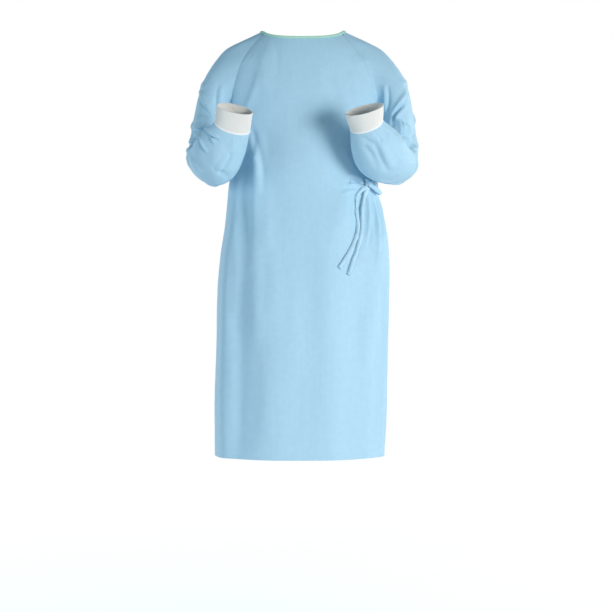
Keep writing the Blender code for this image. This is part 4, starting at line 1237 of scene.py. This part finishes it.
cuff_tree = tree_of(np.concatenate([rims["cuff_left"], rims["cuff_right"]]))
marks = []
for name, loops in edges.items():
    for places, ins in loops:
        ins = square_to(unit(np.gradient(places, axis=0)), ins)
        to_neck = np.array([binding_tree.find_nearest(Vector(place))[3] for place in places])
        joined = nearest(other_rims(name), places) < NEAR_SEAM
        neck = to_neck < NEAR_NECK
        low = places[:, 2] < HEM_HEIGHT
        lay = lay_on(skins[name])
        marks += row_marks(places - ins * NECK_OUTSET + NECK_RISE, neck, lay_on(binding_tree))
        if name.startswith("sleeve"):
            at_cuff = nearest(cuff_tree, places) < NEAR_SEAM
            marks += row_marks(places + ins * CUFF_INSET, at_cuff, lay)
            marks += row_marks(places + ins * SEAM_INSET, joined & ~at_cuff & ~neck, lay)
        else:
            marks += row_marks(places + ins * HEM_INSET, low & ~joined, lay)
        if name.startswith("back"):
            down_side = joined & (places[:, 2] < SIDE_TOP) & ~low
            marks += row_marks(places + ins * SEAM_INSET, down_side, lay)
            marks += row_marks(places + ins * LAP_INSET, ~joined & ~low & ~neck, lay)
    print(name, "and before:", len(marks), "stitches")

# %% Make the stitches
bead = bmesh.new()
bmesh.ops.create_uvsphere(bead, u_segments=6, v_segments=4, radius=1.0)
bead.verts.ensure_lookup_table()
form = np.array([vert.co[:] for vert in bead.verts])[:, [2, 0, 1]] * STITCH_HALF
turns = [[vert.index for vert in face.verts] for face in bead.faces]
bead.free()
middles = np.array([mark[0] for mark in marks])
ways = unit(np.array([mark[1] for mark in marks]))
facings = square_to(ways, np.array([mark[2] for mark in marks]))
asides = np.cross(facings, ways)
frames = np.stack([ways, asides, facings], axis=1)
corners = (form @ frames + middles[:, None, :]).reshape(-1, 3)
faces = [[corner + k * len(form) for corner in turn] for k in range(len(marks)) for turn in turns]
thread_mesh = bpy.data.meshes.new("stitches")
thread_mesh.from_pydata(corners.tolist(), [], faces)
thread_mesh.shade_smooth()
stitches = add("stitches", thread_mesh)
THREAD_DEEP = (0.40, 0.64, 0.80, 1.0)
THREAD_LIGHT = (0.58, 0.79, 0.91, 1.0)
thread, tree, shader = new_material("thread")
place = node(tree, "ShaderNodeTexCoord")
twist = node(tree, "ShaderNodeTexNoise", {"Vector": (place, "Object"), "Scale": 1800}), "Fac"
tint = node(tree, "ShaderNodeMix", {"Factor": twist, "A": THREAD_DEEP, "B": THREAD_LIGHT}, data_type="RGBA")
ply = node(tree, "ShaderNodeBump", {"Height": twist, "Strength": 0.4, "Distance": 0.0001})
surface = {"Base Color": (tint, "Result"), "Normal": (ply, "Normal"), "Roughness": 0.55, "Sheen Weight": 0.2}
plug(tree, shader, surface)
dress(stitches, thread, "gown_cloth")

# %% Cut sizes
Cut = namedtuple("Cut", "node width length area held rests_on")
CUTS = (
    Cut("front_panel", 0.72, 1.22, 0.700, "hung", ("sleeve_left", "sleeve_right")),
    Cut("back_panel_left", 0.44, 1.22, 0.425, "hung", ("sleeve_left", "front_panel")),
    Cut("back_panel_right", 0.57, 1.22, 0.540, "hung", ("sleeve_right", "front_panel")),
    Cut("sleeve_left", 0.73, 0.83, 0.240, "hung", ("front_panel", "back_panel_left")),
    Cut("sleeve_right", 0.73, 0.80, 0.230, "hung", ("front_panel", "back_panel_right")),
    Cut("cuff_left", 0.26, 0.056, 0.0125, "stretched", ("sleeve_left",)),
    Cut("cuff_right", 0.26, 0.061, 0.0130, "stretched", ("sleeve_right",)),
)
for cut in CUTS:
    [cloth[name] for name in cut.rests_on]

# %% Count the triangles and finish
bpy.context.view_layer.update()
faces_in_all = sum(len(thing.data.polygons) for thing in [*cloth.values(), stitches])
print("about", 2 * faces_in_all, "triangles in all")
